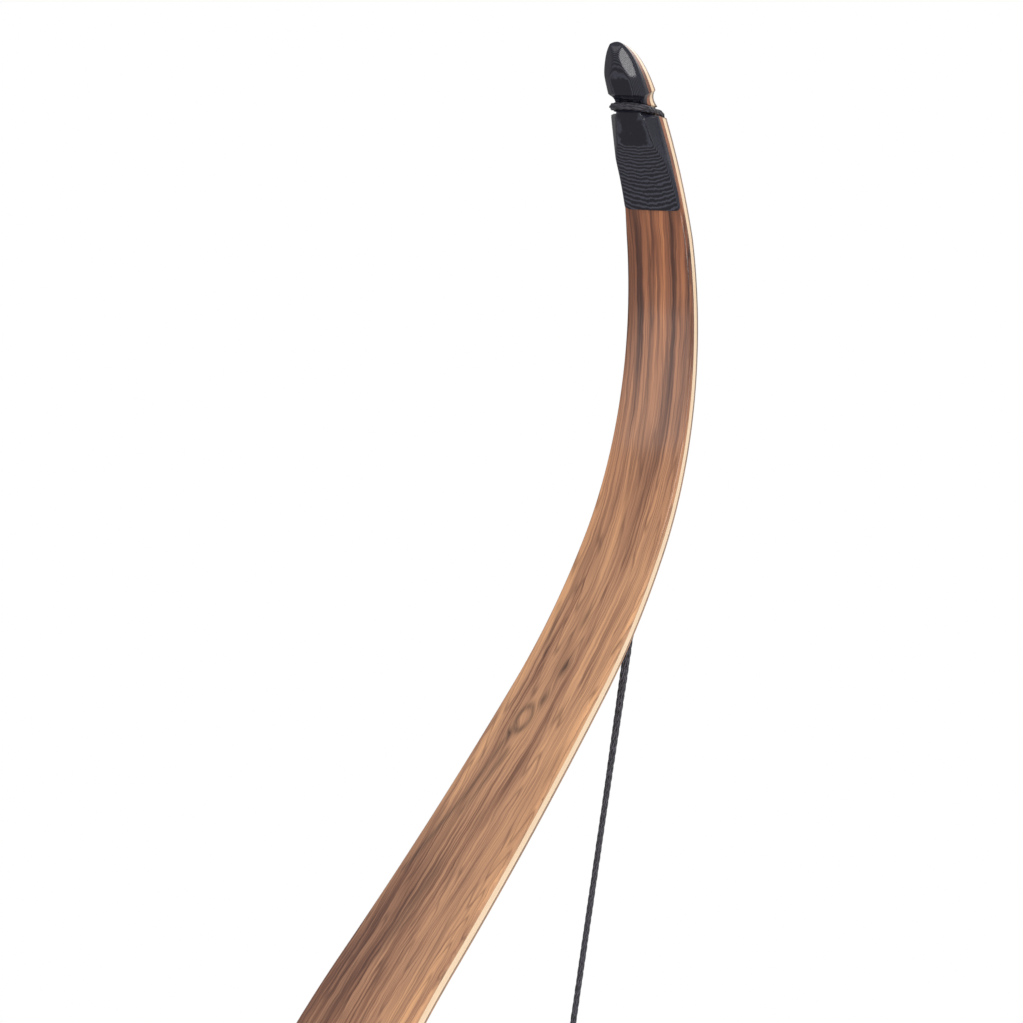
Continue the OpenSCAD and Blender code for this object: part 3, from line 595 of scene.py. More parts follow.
# Eyes, streaks and spots in the back's veneer
MARKS = (
    Mark((0.0, 386.5), (0.0, 386.5), 1.5, 0.75),
    Mark((1.5, 371.5), (1.5, 371.5), 1.4, 0.7),
    Mark((5.0, 362.5), (5.0, 362.5), 0.9, 0.75, 2.4, 0.42),
    Mark((7.3, 356.0), (7.3, 356.0), 1.3, 0.8),
    Mark((7.5, 354.0), (9.5, 329.5), 0.8, 0.7),
    Mark((9.5, 329.5), (16.0, 291.0), 0.9, 0.6),
    Mark((4.5, 347.0), (8.0, 318.0), 0.8, 0.55),
    Mark((1.5, 407.5), (1.5, 407.5), 1.6, 0.45),
    Mark((13.0, 412.5), (10.0, 392.5), 0.8, 0.45),
    Mark((-15.0, 399.0), (-14.6, 394.0), 0.5, 0.5),
    Mark((5.0, 290.0), (6.0, 262.0), 2.4, 0.35),
    Mark((3.2, 556.0), (2.0, 470.0), 0.5, 0.4),
    Mark((7.0, 556.0), (7.2, 500.0), 0.5, 0.45),
    Mark((-11.3, 552.0), (-11.8, 505.0), 0.4, 0.5),
)
EYES = ((0.0, 386.5, 2.4), (1.5, 371.5, 2.2), (5.0, 362.5, 4.0), (7.3, 356.0, 2.2))
BACK_FACE = FiguredVeneer("walnut_veneer_under_clear_laminate", marks=MARKS, eyes=EYES)
BELLY_FACE = FiguredVeneer("walnut_veneer_of_the_belly")
GLASS_EDGE = EdgeGrain("back_laminate_edge", ((0.0, "#7C4E38"), (0.8, "#6A3E2A")), "#A8714E")
VENEER_EDGE = EdgeGrain(
    "veneer_edge", ((0.8, "#6A3A26"), (1.25, "#7A4730"), (1.6, "#B5764F"), (1.9, "#D79C6C")), "#5F3524"
)
CORE_EDGE = EdgeGrain("maple_core_edge", ((0.0, "#F8DBB8"), (9.9, "#F8DBB8")), "#E2B98C")
WEDGE_EDGE = EdgeGrain("maple_wedge_edge", ((0.0, "#E3C092"), (9.9, "#E3C092")), "#C79C6A")
DARK_EDGE = EdgeGrain("belly_veneer_edge", ((0.0, "#8A7765"), (9.9, "#8A7765")), "#6A5748")
MILKY_EDGE = ClearEdge("clear_laminate_edge")
LAMINATE = LinenLaminate("black_linen_laminate")
TWIST = WaxedTwist("waxed_string_strand")
RISER_WOOD = SatinHardwood("oiled_bubinga")
STRIPE_MAPLE = SatinHardwood("oiled_maple", "#D9B98C", "#E8CDA6", "#F0DBBB", 0.5)
CORE_LAMINATE = Phenolic("black_phenolic_sheet")
BRASS = Metal("turned_brass", "#B8934F", "#D8BC80", 0.28)
PIN_STEEL = Metal("ground_pin_steel", "#A9ADB2", "#C6C9CD", 0.25)
WASHER_STEEL = Metal("zinc_plated_washer_steel", "#A6AAAE", "#C9CCCF", 0.34)
BOLT_STEEL = Metal("black_oxide_bolt_steel", "#232326", "#3A3A3E", 0.42)
NOCK_BRASS = Metal("crimped_nock_brass", "#B78F3E", "#D9B868", 0.3)
RUG = Hide("wool_pile_rug", "#2A221D", "#4C4036", 1.6, 0.6)
LEATHER = Hide("vegetable_tanned_leather", "#38281E", "#5B4535", 0.8, 0.15)
SERVING = WaxedTwist("braided_serving_thread", "#26262B", "#50505A")


# ---- shapes ----


@dataclass
class Shape:
    """The skin of one piece in millimetres, with the number of a finish for each face."""

    points: list[Point] = field(default_factory=list)
    faces: list[tuple[int, ...]] = field(default_factory=list)
    marks: list[int] = field(default_factory=list)

    def loft(self, rings: list[Ring], marks: list[int] | None = None, caps: bool = True) -> "Shape":
        """Adds a skin over rings of equally many points.

        Args:
            rings: The rings in order, each one closed.
            marks: The finish number of the faces that start at each point of a ring.
            caps: Whether the first and the last ring are closed.

        Returns:
            The shape itself.
        """
        first, size = len(self.points), len(rings[0])
        for ring in rings:
            self.points.extend(ring)
        for k in range(len(rings) - 1):
            low = first + k * size
            for i in range(size):
                j = (i + 1) % size
                self.faces.append((low + i, low + j, low + size + j, low + size + i))
                self.marks.append(marks[i] if marks else 0)
        if caps:
            last = first + (len(rings) - 1) * size
            for start in (first, last):
                self.faces.append(tuple(range(start, start + size)))
                self.marks.append(max(marks) if marks else 0)
        return self

    def mesh(self, name: str, side: Side = Side.UPPER) -> bpy.types.Mesh:
        """Makes a closed mesh in metres with its normals outwards.

        Args:
            name: The mesh's name.
            side: The half of the bow that the mesh is for. The shape itself is the upper one.

        Returns:
            The mesh.
        """
        made = bpy.data.meshes.new(name)
        made.from_pydata([(x * MM, y * MM, z * MM * side.value) for x, y, z in self.points], [], self.faces)
        made.polygons.foreach_set("material_index", self.marks)
        work = bmesh.new()
        work.from_mesh(made)
        bmesh.ops.remove_doubles(work, verts=work.verts, dist=MERGE_GAP)
        bmesh.ops.dissolve_degenerate(work, edges=work.edges, dist=SHORT_EDGE)
        loose = [edge for edge in work.edges if not edge.link_faces]
        bmesh.ops.delete(work, geom=loose, context="EDGES")
        bmesh.ops.recalc_face_normals(work, faces=work.faces)
        work.to_mesh(made)
        work.free()
        return made


def place_piece(
    name: str, mesh: bpy.types.Mesh, nodes: tuple[str, ...], slot: str, body: str = "bow"
) -> None:
    """Puts a dressed mesh in the scene and ties it to the CAD frame.

    Args:
        name: The piece's name.
        mesh: Its mesh, in place and in metres, with its materials on it.
        nodes: The CAD nodes that it stands for.
        slot: The record's material slot. Not used.
        body: The CAD body that it rides on.
    """
    piece = bpy.data.objects.new(name, mesh)
    bpy.context.scene.collection.objects.link(piece)
    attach(piece, body)
    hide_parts(*nodes)
    LOG.info("%s: %d faces", name, len(mesh.polygons))


def finish_piece(
    name: str,
    mesh: bpy.types.Mesh,
    finishes: list[Finish],
    nodes: tuple[str, ...],
    slot: str,
    body: str = "bow",
    sharp: float = 32.0,
) -> None:
    """Gives a mesh its finishes and crisp edges, and places it.

    Args:
        name: The piece's name.
        mesh: Its mesh, in place and in metres.
        finishes: One finish for each number that the faces carry.
        nodes: The CAD nodes that it stands for.
        slot: The record's material slot.
        body: The CAD body that it rides on.
        sharp: Edges that turn by more than this, in degrees, stay crisp.
    """
    for item in finishes:
        mesh.materials.append(item.material())
    mesh.polygons.foreach_set("use_smooth", [True] * len(mesh.polygons))
    mesh.set_sharp_from_angle(angle=math.radians(sharp))
    place_piece(name, mesh, nodes, slot, body)


def carve(mesh: bpy.types.Mesh, cutters: list[bpy.types.Mesh]) -> bpy.types.Mesh:
    """Cuts closed meshes out of a closed mesh.

    Args:
        mesh: What is cut.
        cutters: What is taken away. These meshes are removed.

    Returns:
        A new mesh under the old one's name.
    """
    scene = bpy.context.scene.collection.objects
    block = bpy.data.objects.new("carved", mesh)
    scene.link(block)
    tools = []
    for cutter in cutters:
        tool = bpy.data.objects.new("cutter", cutter)
        scene.link(tool)
        tools.append(tool)
        cut = block.modifiers.new("cut", "BOOLEAN")
        cut.operation, cut.solver, cut.object = "DIFFERENCE", "EXACT", tool
    bpy.context.view_layer.update()
    made = bpy.data.meshes.new_from_object(block.evaluated_get(bpy.context.evaluated_depsgraph_get()))
    name = mesh.name
    for item in [block, *tools]:
        bpy.data.objects.remove(item)
    for item in [mesh, *cutters]:
        bpy.data.meshes.remove(item)
    made.name = name
    made.materials.clear()
    return made


def rod(start: Point, end: Point, radius: float, sides: int = 48) -> Shape:
    """A straight round rod between two points."""
    a, b = Vector(start), Vector(end)
    along = (b - a).normalized()
    out = along.orthogonal().normalized()
    other = along.cross(out)
    rings = []
    for centre in (a, b):
        ring = []
        for k in range(sides):
            t = 2 * math.pi * k / sides
            ring.append(tuple(centre + radius * (math.cos(t) * out + math.sin(t) * other)))
        rings.append(ring)
    return Shape().loft(rings)


def cut_thread(depth: float, pitch: float, radius: float, high: float = math.inf) -> Rule:
    """Makes the rule that cuts a thread into a bore or a shank.

    Args:
        depth: How far the groove goes out of a bore, or, where negative, into a shank.
        pitch: The thread's pitch.
        radius: The radius of what is cut.
        high: The place where the thread ends.

    Returns:
        A rule from radius, height and angle to the cut radius.
    """

    def rule(r: float, height: float, angle: float) -> float:
        """The radius once the thread is cut."""
        if abs(r - radius) > 1e-6 or height > high:
            return r
        wave = abs(((height / pitch - angle / (2 * math.pi)) % 1.0) * 2 - 1)
        return r + depth * min(1.0, max(0.0, 1.2 * wave - 0.1))

    return rule


def turned(
    profile: list[Pair],
    foot: Point,
    axis: Point,
    rule: Rule | None = None,
    sides: int = 64,
    shape: Shape | None = None,
) -> Shape:
    """Turns a closed profile about an axis.

    Args:
        profile: Radius and height of each corner.
        foot: The point of the axis at height 0.
        axis: The direction of the axis.
        rule: Changes a radius by its height and angle, for threads and knurls.
        sides: Number of facets.
        shape: A shape that the result is added to.

    Returns:
        The shape.
    """
    along = Vector(axis).normalized()
    out = along.orthogonal().normalized()
    other = along.cross(out)
    rings = []
    for k in range(sides + 1):
        t = 2 * math.pi * (k % sides) / sides
        way = math.cos(t) * out + math.sin(t) * other
        ring = []
        for r, h in profile:
            far = rule(r, h, t) if rule else r
            ring.append(tuple(Vector(foot) + along * h + way * far))
        rings.append(ring)
    return (shape or Shape()).loft(rings, caps=False)


def slab(
    outline: list[Pair],
    low: float,
    high: float,
    ease: float,
    place: Callable[[float, float, float], Point],
    top_only: bool = False,
) -> Shape:
    """Makes a plate from a convex outline, with its edges eased.

    Args:
        outline: The corners, anticlockwise.
        low: The level of one face.
        high: The level of the other.
        ease: The radius of the edges.
        place: Turns an outline's point and a level into a place.
        top_only: Whether the edges of the low face stay sharp.

    Returns:
        The shape.
    """
    count = len(outline)
    edge = [(ease * (1 - math.sin(t)), ease * (1 - math.cos(t))) for t in quarter(4)]
    levels = [(low, 0.0)] if top_only else [(low + fall, inset) for fall, inset in reversed(edge)]
    levels += [(high - fall, inset) for fall, inset in edge]
    rings = []
    for level, inset in levels:
        ring = []
        for i, (x, y) in enumerate(outline):
            before, after = outline[i - 1], outline[(i + 1) % count]
            normals = []
            for (x0, y0), (x1, y1) in ((before, (x, y)), ((x, y), after)):
                size = math.hypot(x1 - x0, y1 - y0) or 1.0
                normals.append(((y1 - y0) / size, (x0 - x1) / size))
            nx, ny = normals[0][0] + normals[1][0], normals[0][1] + normals[1][1]
            scale = 2 / max(0.5, nx * nx + ny * ny)
            ring.append(place(x - nx * inset * scale, y - ny * inset * scale, level))
        rings.append(ring)
    return Shape().loft(rings)


# ---- the limb ----


@dataclass(frozen=True)
class LimbLine:
    """The line and the section of a limb, with the sizes that the CAD source gives them."""

    riser_half: float = 226.0
    pad_y: float = -2.0
    pad_lean: float = 20.0
    facing_t: float = 2.5
    stretches: tuple[Pair, ...] = (
        (83.0, 0.0), (167.0, 19.0), (130.0, -4.5), (60.0, -13.5), (105.0, -49.5), (48.0, -15.5), (22.2, -0.6),
    )
    fade_len: float = 77.0
    overlay_len: float = 39.5
    limb_w: float = 45.0
    tip_w: float = 22.8
    nock_w: float = 16.4
    head_w: float = 14.2
    head_round: float = 20.4
    head_point: float = 0.5
    head_bevel: float = 2.6
    glass_t: float = 0.8
    back_veneer_t: float = 1.1
    belly_veneer_t: float = 0.5
    core_butt_t: float = 3.1
    core_nock_t: float = 1.6
    wedge_t: float = 7.0
    overlay_t: float = 4.5
    neck_depth: float = 2.8
    neck_r: float = 4.7
    neck_rise: float = 0.4
    neck_slant: float = 16.0
    groove_slant: float = 38.0
    groove_r: float = 1.65
    groove_sink: float = 0.8
    loop_r: float = 1.35
    filed_len: float = 20.0
    saddle_end: float = 6.0
    crowding: float = 1.8
    arris_r: float = 0.9
    arris_extra: float = 0.2
    arris_run: float = 24.0
    bolt_u: float = 28.0
    bolt_hole_r: float = 4.32
    pin_u: float = 58.0

    def __post_init__(self) -> None:
        """Works out the ends of the stretches and a fine table of the outline."""
        pad_len = self.stretches[0][0]
        lean = math.radians(self.pad_lean)
        butt_t = 2 * self.glass_t + self.back_veneer_t + self.belly_veneer_t + self.core_butt_t + self.wedge_t
        y = self.pad_y + (self.facing_t + butt_t) * math.cos(lean) + pad_len * math.sin(lean)
        z = self.riser_half + (self.facing_t + butt_t) * math.sin(lean) - pad_len * math.cos(lean)
        states = [(y, z, lean, 0.0)]
        for length, turn in self.stretches:
            y, z = self.arc_end(y, z, lean, length, math.radians(turn))
            lean += math.radians(turn)
            states.append((y, z, lean, states[-1][3] + length))
        object.__setattr__(self, "states", states)
        line = np.linspace(0.0, self.end_u, 4000)
        object.__setattr__(self, "table_u", line)
        object.__setattr__(self, "table", np.array([self.back(u) for u in line]))
        object.__setattr__(self, "table_half", np.array([self.outline(u) for u in line]))

    @staticmethod
    def arc_end(y: float, z: float, lean: float, length: float, turn: float) -> Pair:
        """The far end of an arc of a given length and turn, in radians."""
        if abs(turn) < 1e-6:
            return y - length * math.sin(lean), z + length * math.cos(lean)
        r, end = length / turn, lean + turn
        return y + r * (math.cos(end) - math.cos(lean)), z + r * (math.sin(end) - math.sin(lean))

    @property
    def pad_len(self) -> float:
        """Length of limb that lies on the riser."""
        return self.stretches[0][0]

    @property
    def fade_u(self) -> float:
        """Where the wedge in the butt has run out."""
        return self.pad_len + self.fade_len

    @property
    def end_u(self) -> float:
        """Length of the whole back."""
        return sum(s[0] for s in self.stretches)

    @property
    def nock_u(self) -> float:
        """Where the string's loop sits."""
        return self.end_u - self.stretches[-1][0]

    @property
    def tip_u(self) -> float:
        """Where the stiff tip starts."""
        return self.nock_u - self.stretches[-2][0]

    @property
    def foot_u(self) -> float:
        """Where the tip overlay starts."""
        return self.nock_u - self.overlay_len

    @property
    def groove_x(self) -> float:
        """How far from the middle the string lies in its grooves."""
        return self.nock_w / 2 - self.groove_sink - self.loop_r

    def lean(self, u: float) -> float:
        """The lean of the back at a distance along it, in radians."""
        _, _, lean, start = self.state(u)
        length, turn = self.stretches[self.stretch(u)]
        return lean + math.radians(turn) * (u - start) / length

    def stretch(self, u: float) -> int:
        """The number of the stretch that holds a distance."""
        for i in range(len(self.stretches) - 1):
            if u <= self.states[i + 1][3]:
                return i
        return len(self.stretches) - 1

    def state(self, u: float) -> tuple[float, float, float, float]:
        """Place, lean and distance at the start of the stretch that holds a distance."""
        return self.states[self.stretch(u)]

    def back(self, u: float) -> Pair:
        """The point of the back at a distance along it."""
        y, z, lean, start = self.state(u)
        length, turn = self.stretches[self.stretch(u)]
        return self.arc_end(y, z, lean, u - start, math.radians(turn) * (u - start) / length)

    def point(self, u: float, depth: float) -> Pair:
        """The point at a depth under the back, or over it where the depth is negative."""
        (y, z), lean = self.back(u), self.lean(u)
        return y - depth * math.cos(lean), z - depth * math.sin(lean)

    def place(self, u: float, out: float, on: float) -> Pair:
        """The point at a distance out of the back and on along it, in the straight frame at u."""
        (y, z), lean = self.back(u), self.lean(u)
        return (
            y + out * math.cos(lean) - on * math.sin(lean),
            z + out * math.sin(lean) + on * math.cos(lean),
        )

    def on_butt(self, x: float, on: float, out: float) -> Point:
        """The point across and along the flat butt, at a height over its back."""
        return (x, *self.place(0.0, out, on))

    def depth(self, joint: int, u: float) -> float:
        """Depth of a joint between layers, counted from the back."""
        core = ramp_between(u, self.pad_len, self.nock_u, self.core_butt_t, self.core_nock_t)
        wedge = ramp_between(u, self.pad_len, self.fade_u, self.wedge_t, 0.0)
        steps = [self.glass_t, self.back_veneer_t, core / 2, wedge, core / 2]
        steps += [self.belly_veneer_t, self.glass_t]
        return sum(steps[:joint])

    def outline(self, u: float) -> float:
        """Half the width of the limb, before the string's grooves."""
        if u < self.fade_u:
            return self.limb_w / 2
        if u < self.tip_u:
            return ramp_between(u, self.fade_u, self.tip_u, self.limb_w, self.tip_w) / 2
        if u <= self.nock_u:
            return ramp_between(u, self.tip_u, self.nock_u, self.tip_w, self.nock_w) / 2
        x = max(0.0, (u - self.end_u + self.head_round) / self.head_round)
        return self.head_w / 2 * max(0.0, 1 - x * x) ** self.head_point

    def arris(self, u: float) -> float:
        """Radius of the rounding along the edges of the back, which is largest at the overlay's foot."""
        near = max(0.0, 1 - abs(u - self.foot_u) / self.arris_run)
        return self.arris_r + self.arris_extra * near

    def inset(self, u: float, below: float) -> float:
        """How far that rounding takes the edge in, at a depth below the outermost face."""
        return eased(self.arris(u), below)

    def hole(self, side: Side, u: float, radius: float, start: float, end: float) -> bpy.types.Mesh:
        """A rod to cut a hole with, square to the back, from one height over it to another."""
        near, far = ((0.0, *self.place(u, out, 0.0)) for out in (start, end))
        return rod(near, far, radius).mesh("hole", side)

    def head_places(self, count: int) -> list[float]:
        """Distances over the head, which crowd towards its end."""
        start, reach = self.nock_u + self.saddle_end, self.end_u - self.nock_u - self.saddle_end
        return [start + reach * (1 - (1 - i / count) ** self.crowding) for i in range(1, count + 1)]

    def at_nock(self, y: float, z: float) -> Pair:
        """Turns a place into the nock's own frame: out of the back, and on towards the tip."""
        (y0, z0), lean = self.back(self.nock_u), self.lean(self.nock_u)
        c, s = math.cos(lean), math.sin(lean)
        return (y - y0) * c + (z - z0) * s, -(y - y0) * s + (z - z0) * c

    def limit(self, u: float, depth: float) -> float:
        """Half the width at a depth, with the neck and the string's grooves filed in."""
        y, z = self.point(u, depth)
        half = float(np.interp(z, self.table[:, 1], self.table_half))
        if u < self.nock_u - self.filed_len:
            return half
        out, on = self.at_nock(y, z)
        for slant, radius, rise, centre in (
            (self.groove_slant, self.groove_r, 0.0, self.groove_x),
            (self.neck_slant, self.neck_r, self.neck_rise, self.nock_w / 2 - self.neck_depth + self.neck_r),
        ):
            t = math.radians(slant)
            off = (on - rise + (self.overlay_t - out) * math.tan(t)) * math.cos(t)
            if abs(off) < radius:
                cut = centre - math.sqrt(radius * radius - off * off)
                half = min(half, cut)
        return half

    def locate(self, y: np.ndarray, z: np.ndarray) -> tuple[np.ndarray, np.ndarray]:
        """Finds the distance along the back and the depth under it of many points.

        Args:
            y: Forward places.
            z: Heights.

        Returns:
            Distances and depths.
        """
        nearest = np.zeros(len(y), int)
        for start in range(0, len(y), 2000):
            part = slice(start, start + 2000)
            dy, dz = y[part, None] - self.table[None, :, 0], z[part, None] - self.table[None, :, 1]
            nearest[part] = (dy**2 + dz**2).argmin(1)
        u = self.table_u[nearest]
        lean = np.array([self.lean(v) for v in self.table_u])[nearest]
        dy, dz = y - self.table[nearest, 0], z - self.table[nearest, 1]
        return u - dy * np.sin(lean) + dz * np.cos(lean), -(dy * np.cos(lean) + dz * np.sin(lean))


LINE = LimbLine()
# How far across the board the lower limb's wood lies from the upper one's, in millimetres
LOWER_SHIFT = 60.0


def add_flow(mesh: bpy.types.Mesh, side: Side) -> None:
    """Notes on each point its place across and along the limb and its depth, in millimetres.

    Args:
        mesh: A mesh near a limb, in metres.
        side: The limb. The lower one takes its wood from another part of the board.
    """
    co = np.zeros(len(mesh.vertices) * 3, np.float32)
    mesh.vertices.foreach_get("co", co)
    co = co.reshape(-1, 3) / MM
    u, depth = LINE.locate(co[:, 1], co[:, 2] * side.value)
    shift = 0.0 if side is Side.UPPER else LOWER_SHIFT
    flow = np.stack([co[:, 0] + shift, u, depth], 1).astype(np.float32)
    mesh.attributes.new("flow", "FLOAT_VECTOR", "POINT").data.foreach_set("vector", flow.ravel())


@dataclass
class Limb:
    """One limb: seven layers glued up, with the tip overlay on them."""

    side: Side
    line: LimbLine = LINE
    edge_r: float = 0.6
    wedge_gap: float = 0.3
    pin_hole_r: float = 3.1

    def stations(self, end: float) -> list[float]:
        """Distances along the limb at which a layer's section is drawn."""
        line = self.line
        nock = line.nock_u
        bend = line.pad_len + line.stretches[1][0]
        places = spread(0, line.pad_len, 8) + spread(line.pad_len, bend, 3) + spread(bend, line.tip_u, 1.8)
        places += spread(line.tip_u, nock - 14, 1.2) + spread(nock - 14, nock + line.saddle_end, 0.35)
        places += line.head_places(28)
        return [u for i, u in enumerate(places) if u <= end and (i == 0 or u > places[i - 1] + SECTION_GAP)]

    def sanded(self, u: float) -> float:
        """How deep the head still goes where its belly is sanded, and where its end is cut level."""
        line = self.line
        rise = u - line.nock_u - (line.stretches[-1][0] - line.head_round - 1)
        belly = line.depth(7, line.nock_u) - max(0.0, rise) * math.tan(math.radians(line.head_bevel))
        level = (line.back(line.end_u)[1] - END_GAP - line.back(u)[1]) / -math.sin(line.lean(u))
        return min(belly, level)

    def section(self, layer: Layer, u: float) -> Ring | None:
        """The outline of a layer at one distance, or nothing where it has run out."""
        line = self.line
        top, low = line.depth(layer.value, u), line.depth(layer.value + 1, u)
        if u > line.nock_u:
            top, low = min(top, self.sanded(u)), min(low, self.sanded(u))
        if low - top < LEAST_LAYER:
            return None
        ends = [(top, 0.0), (low, 0.0)]
        over = TipOverlay(line).rim(u) if u > line.foot_u else 0.0
        if layer in (Layer.BACK_GLASS, Layer.BACK_VENEER):
            # The rounding starts at the outermost face, which is the overlay's where there is one
            depths = [top + (low - top) * (1 - math.cos(t)) for t in quarter(6)]
            ends = [(d, line.inset(u, over + d)) for d in depths]
        if layer is Layer.BELLY_GLASS:
            r = min(self.edge_r, 0.9 * (low - top))
            ends = [(top, 0.0)] + [(low - r * (1 - math.sin(t)), r * (1 - math.cos(t))) for t in quarter(4)]
        ring = [(max(0.02, line.limit(u, d) - inset), *line.point(u, d)) for d, inset in ends]
        return ring + [(-x, y, z) for x, y, z in reversed(ring)]

    def layer_mesh(self, layer: Layer) -> bpy.types.Mesh:
        """Builds one layer with its bolt and pin holes."""
        line = self.line
        end = line.fade_u - self.wedge_gap if layer is Layer.BUTT_WEDGE else line.end_u - END_GAP
        rings = [r for r in (self.section(layer, u) for u in self.stations(end)) if r]
        size = len(rings[0])
        flat = {Layer.BACK_GLASS: size - 1, Layer.BELLY_GLASS: size // 2 - 1}.get(layer, -1)
        marks = [0 if i == flat else 1 for i in range(size)]
        if layer in (Layer.BACK_GLASS, Layer.BELLY_GLASS):
            # The first three faces of the rounding beside it look like the face itself
            for i in range(3):
                back, belly = (i, size - 2 - i), (size // 2 - 2 - i, size // 2 + i)
                for k in back if layer is Layer.BACK_GLASS else belly:
                    marks[k] = 0
        mesh = Shape().loft(rings, marks).mesh(f"{self.side.word}_{layer.name.lower()}_skin", self.side)
        cutters = [line.hole(self.side, line.bolt_u, line.bolt_hole_r, 8.0, -20.0)]
        if layer.value >= Layer.BUTT_WEDGE.value:
            top = -line.depth(Layer.BUTT_WEDGE.value, line.pin_u)
            cutters.append(line.hole(self.side, line.pin_u, self.pin_hole_r, top, -24.0))
        made = carve(mesh, cutters)
        add_flow(made, self.side)
        return made

    def build(self) -> None:
        """Builds and dresses every piece of the limb."""
        word = self.side.word
        looks: dict[Layer, tuple[list[Finish], str]] = {
            Layer.BACK_GLASS: ([BACK_FACE, GLASS_EDGE], "clear_glass_laminate"),
            Layer.BACK_VENEER: ([BACK_FACE, VENEER_EDGE], "back_veneer"),
            Layer.BACK_CORE: ([CORE_EDGE, CORE_EDGE], "core_maple"),
            Layer.BUTT_WEDGE: ([WEDGE_EDGE, WEDGE_EDGE], "wedge_maple"),
            Layer.BELLY_CORE: ([CORE_EDGE, CORE_EDGE], "core_maple"),
            Layer.BELLY_VENEER: ([DARK_EDGE, DARK_EDGE], "belly_veneer"),
            Layer.BELLY_GLASS: ([BELLY_FACE, MILKY_EDGE], "clear_glass_laminate"),
        }
        for layer, (finishes, slot) in looks.items():
            node = f"{word}_{layer.name.lower()}"
            finish_piece(f"{node}_lamination", self.layer_mesh(layer), finishes, (node,), slot)
        overlay = TipOverlay(self.line).mesh(f"{word}_tip_skin", self.side)
        finish_piece(f"{word}_tip_horn", overlay, [LAMINATE], (f"{word}_tip_overlay",), "black_laminate")


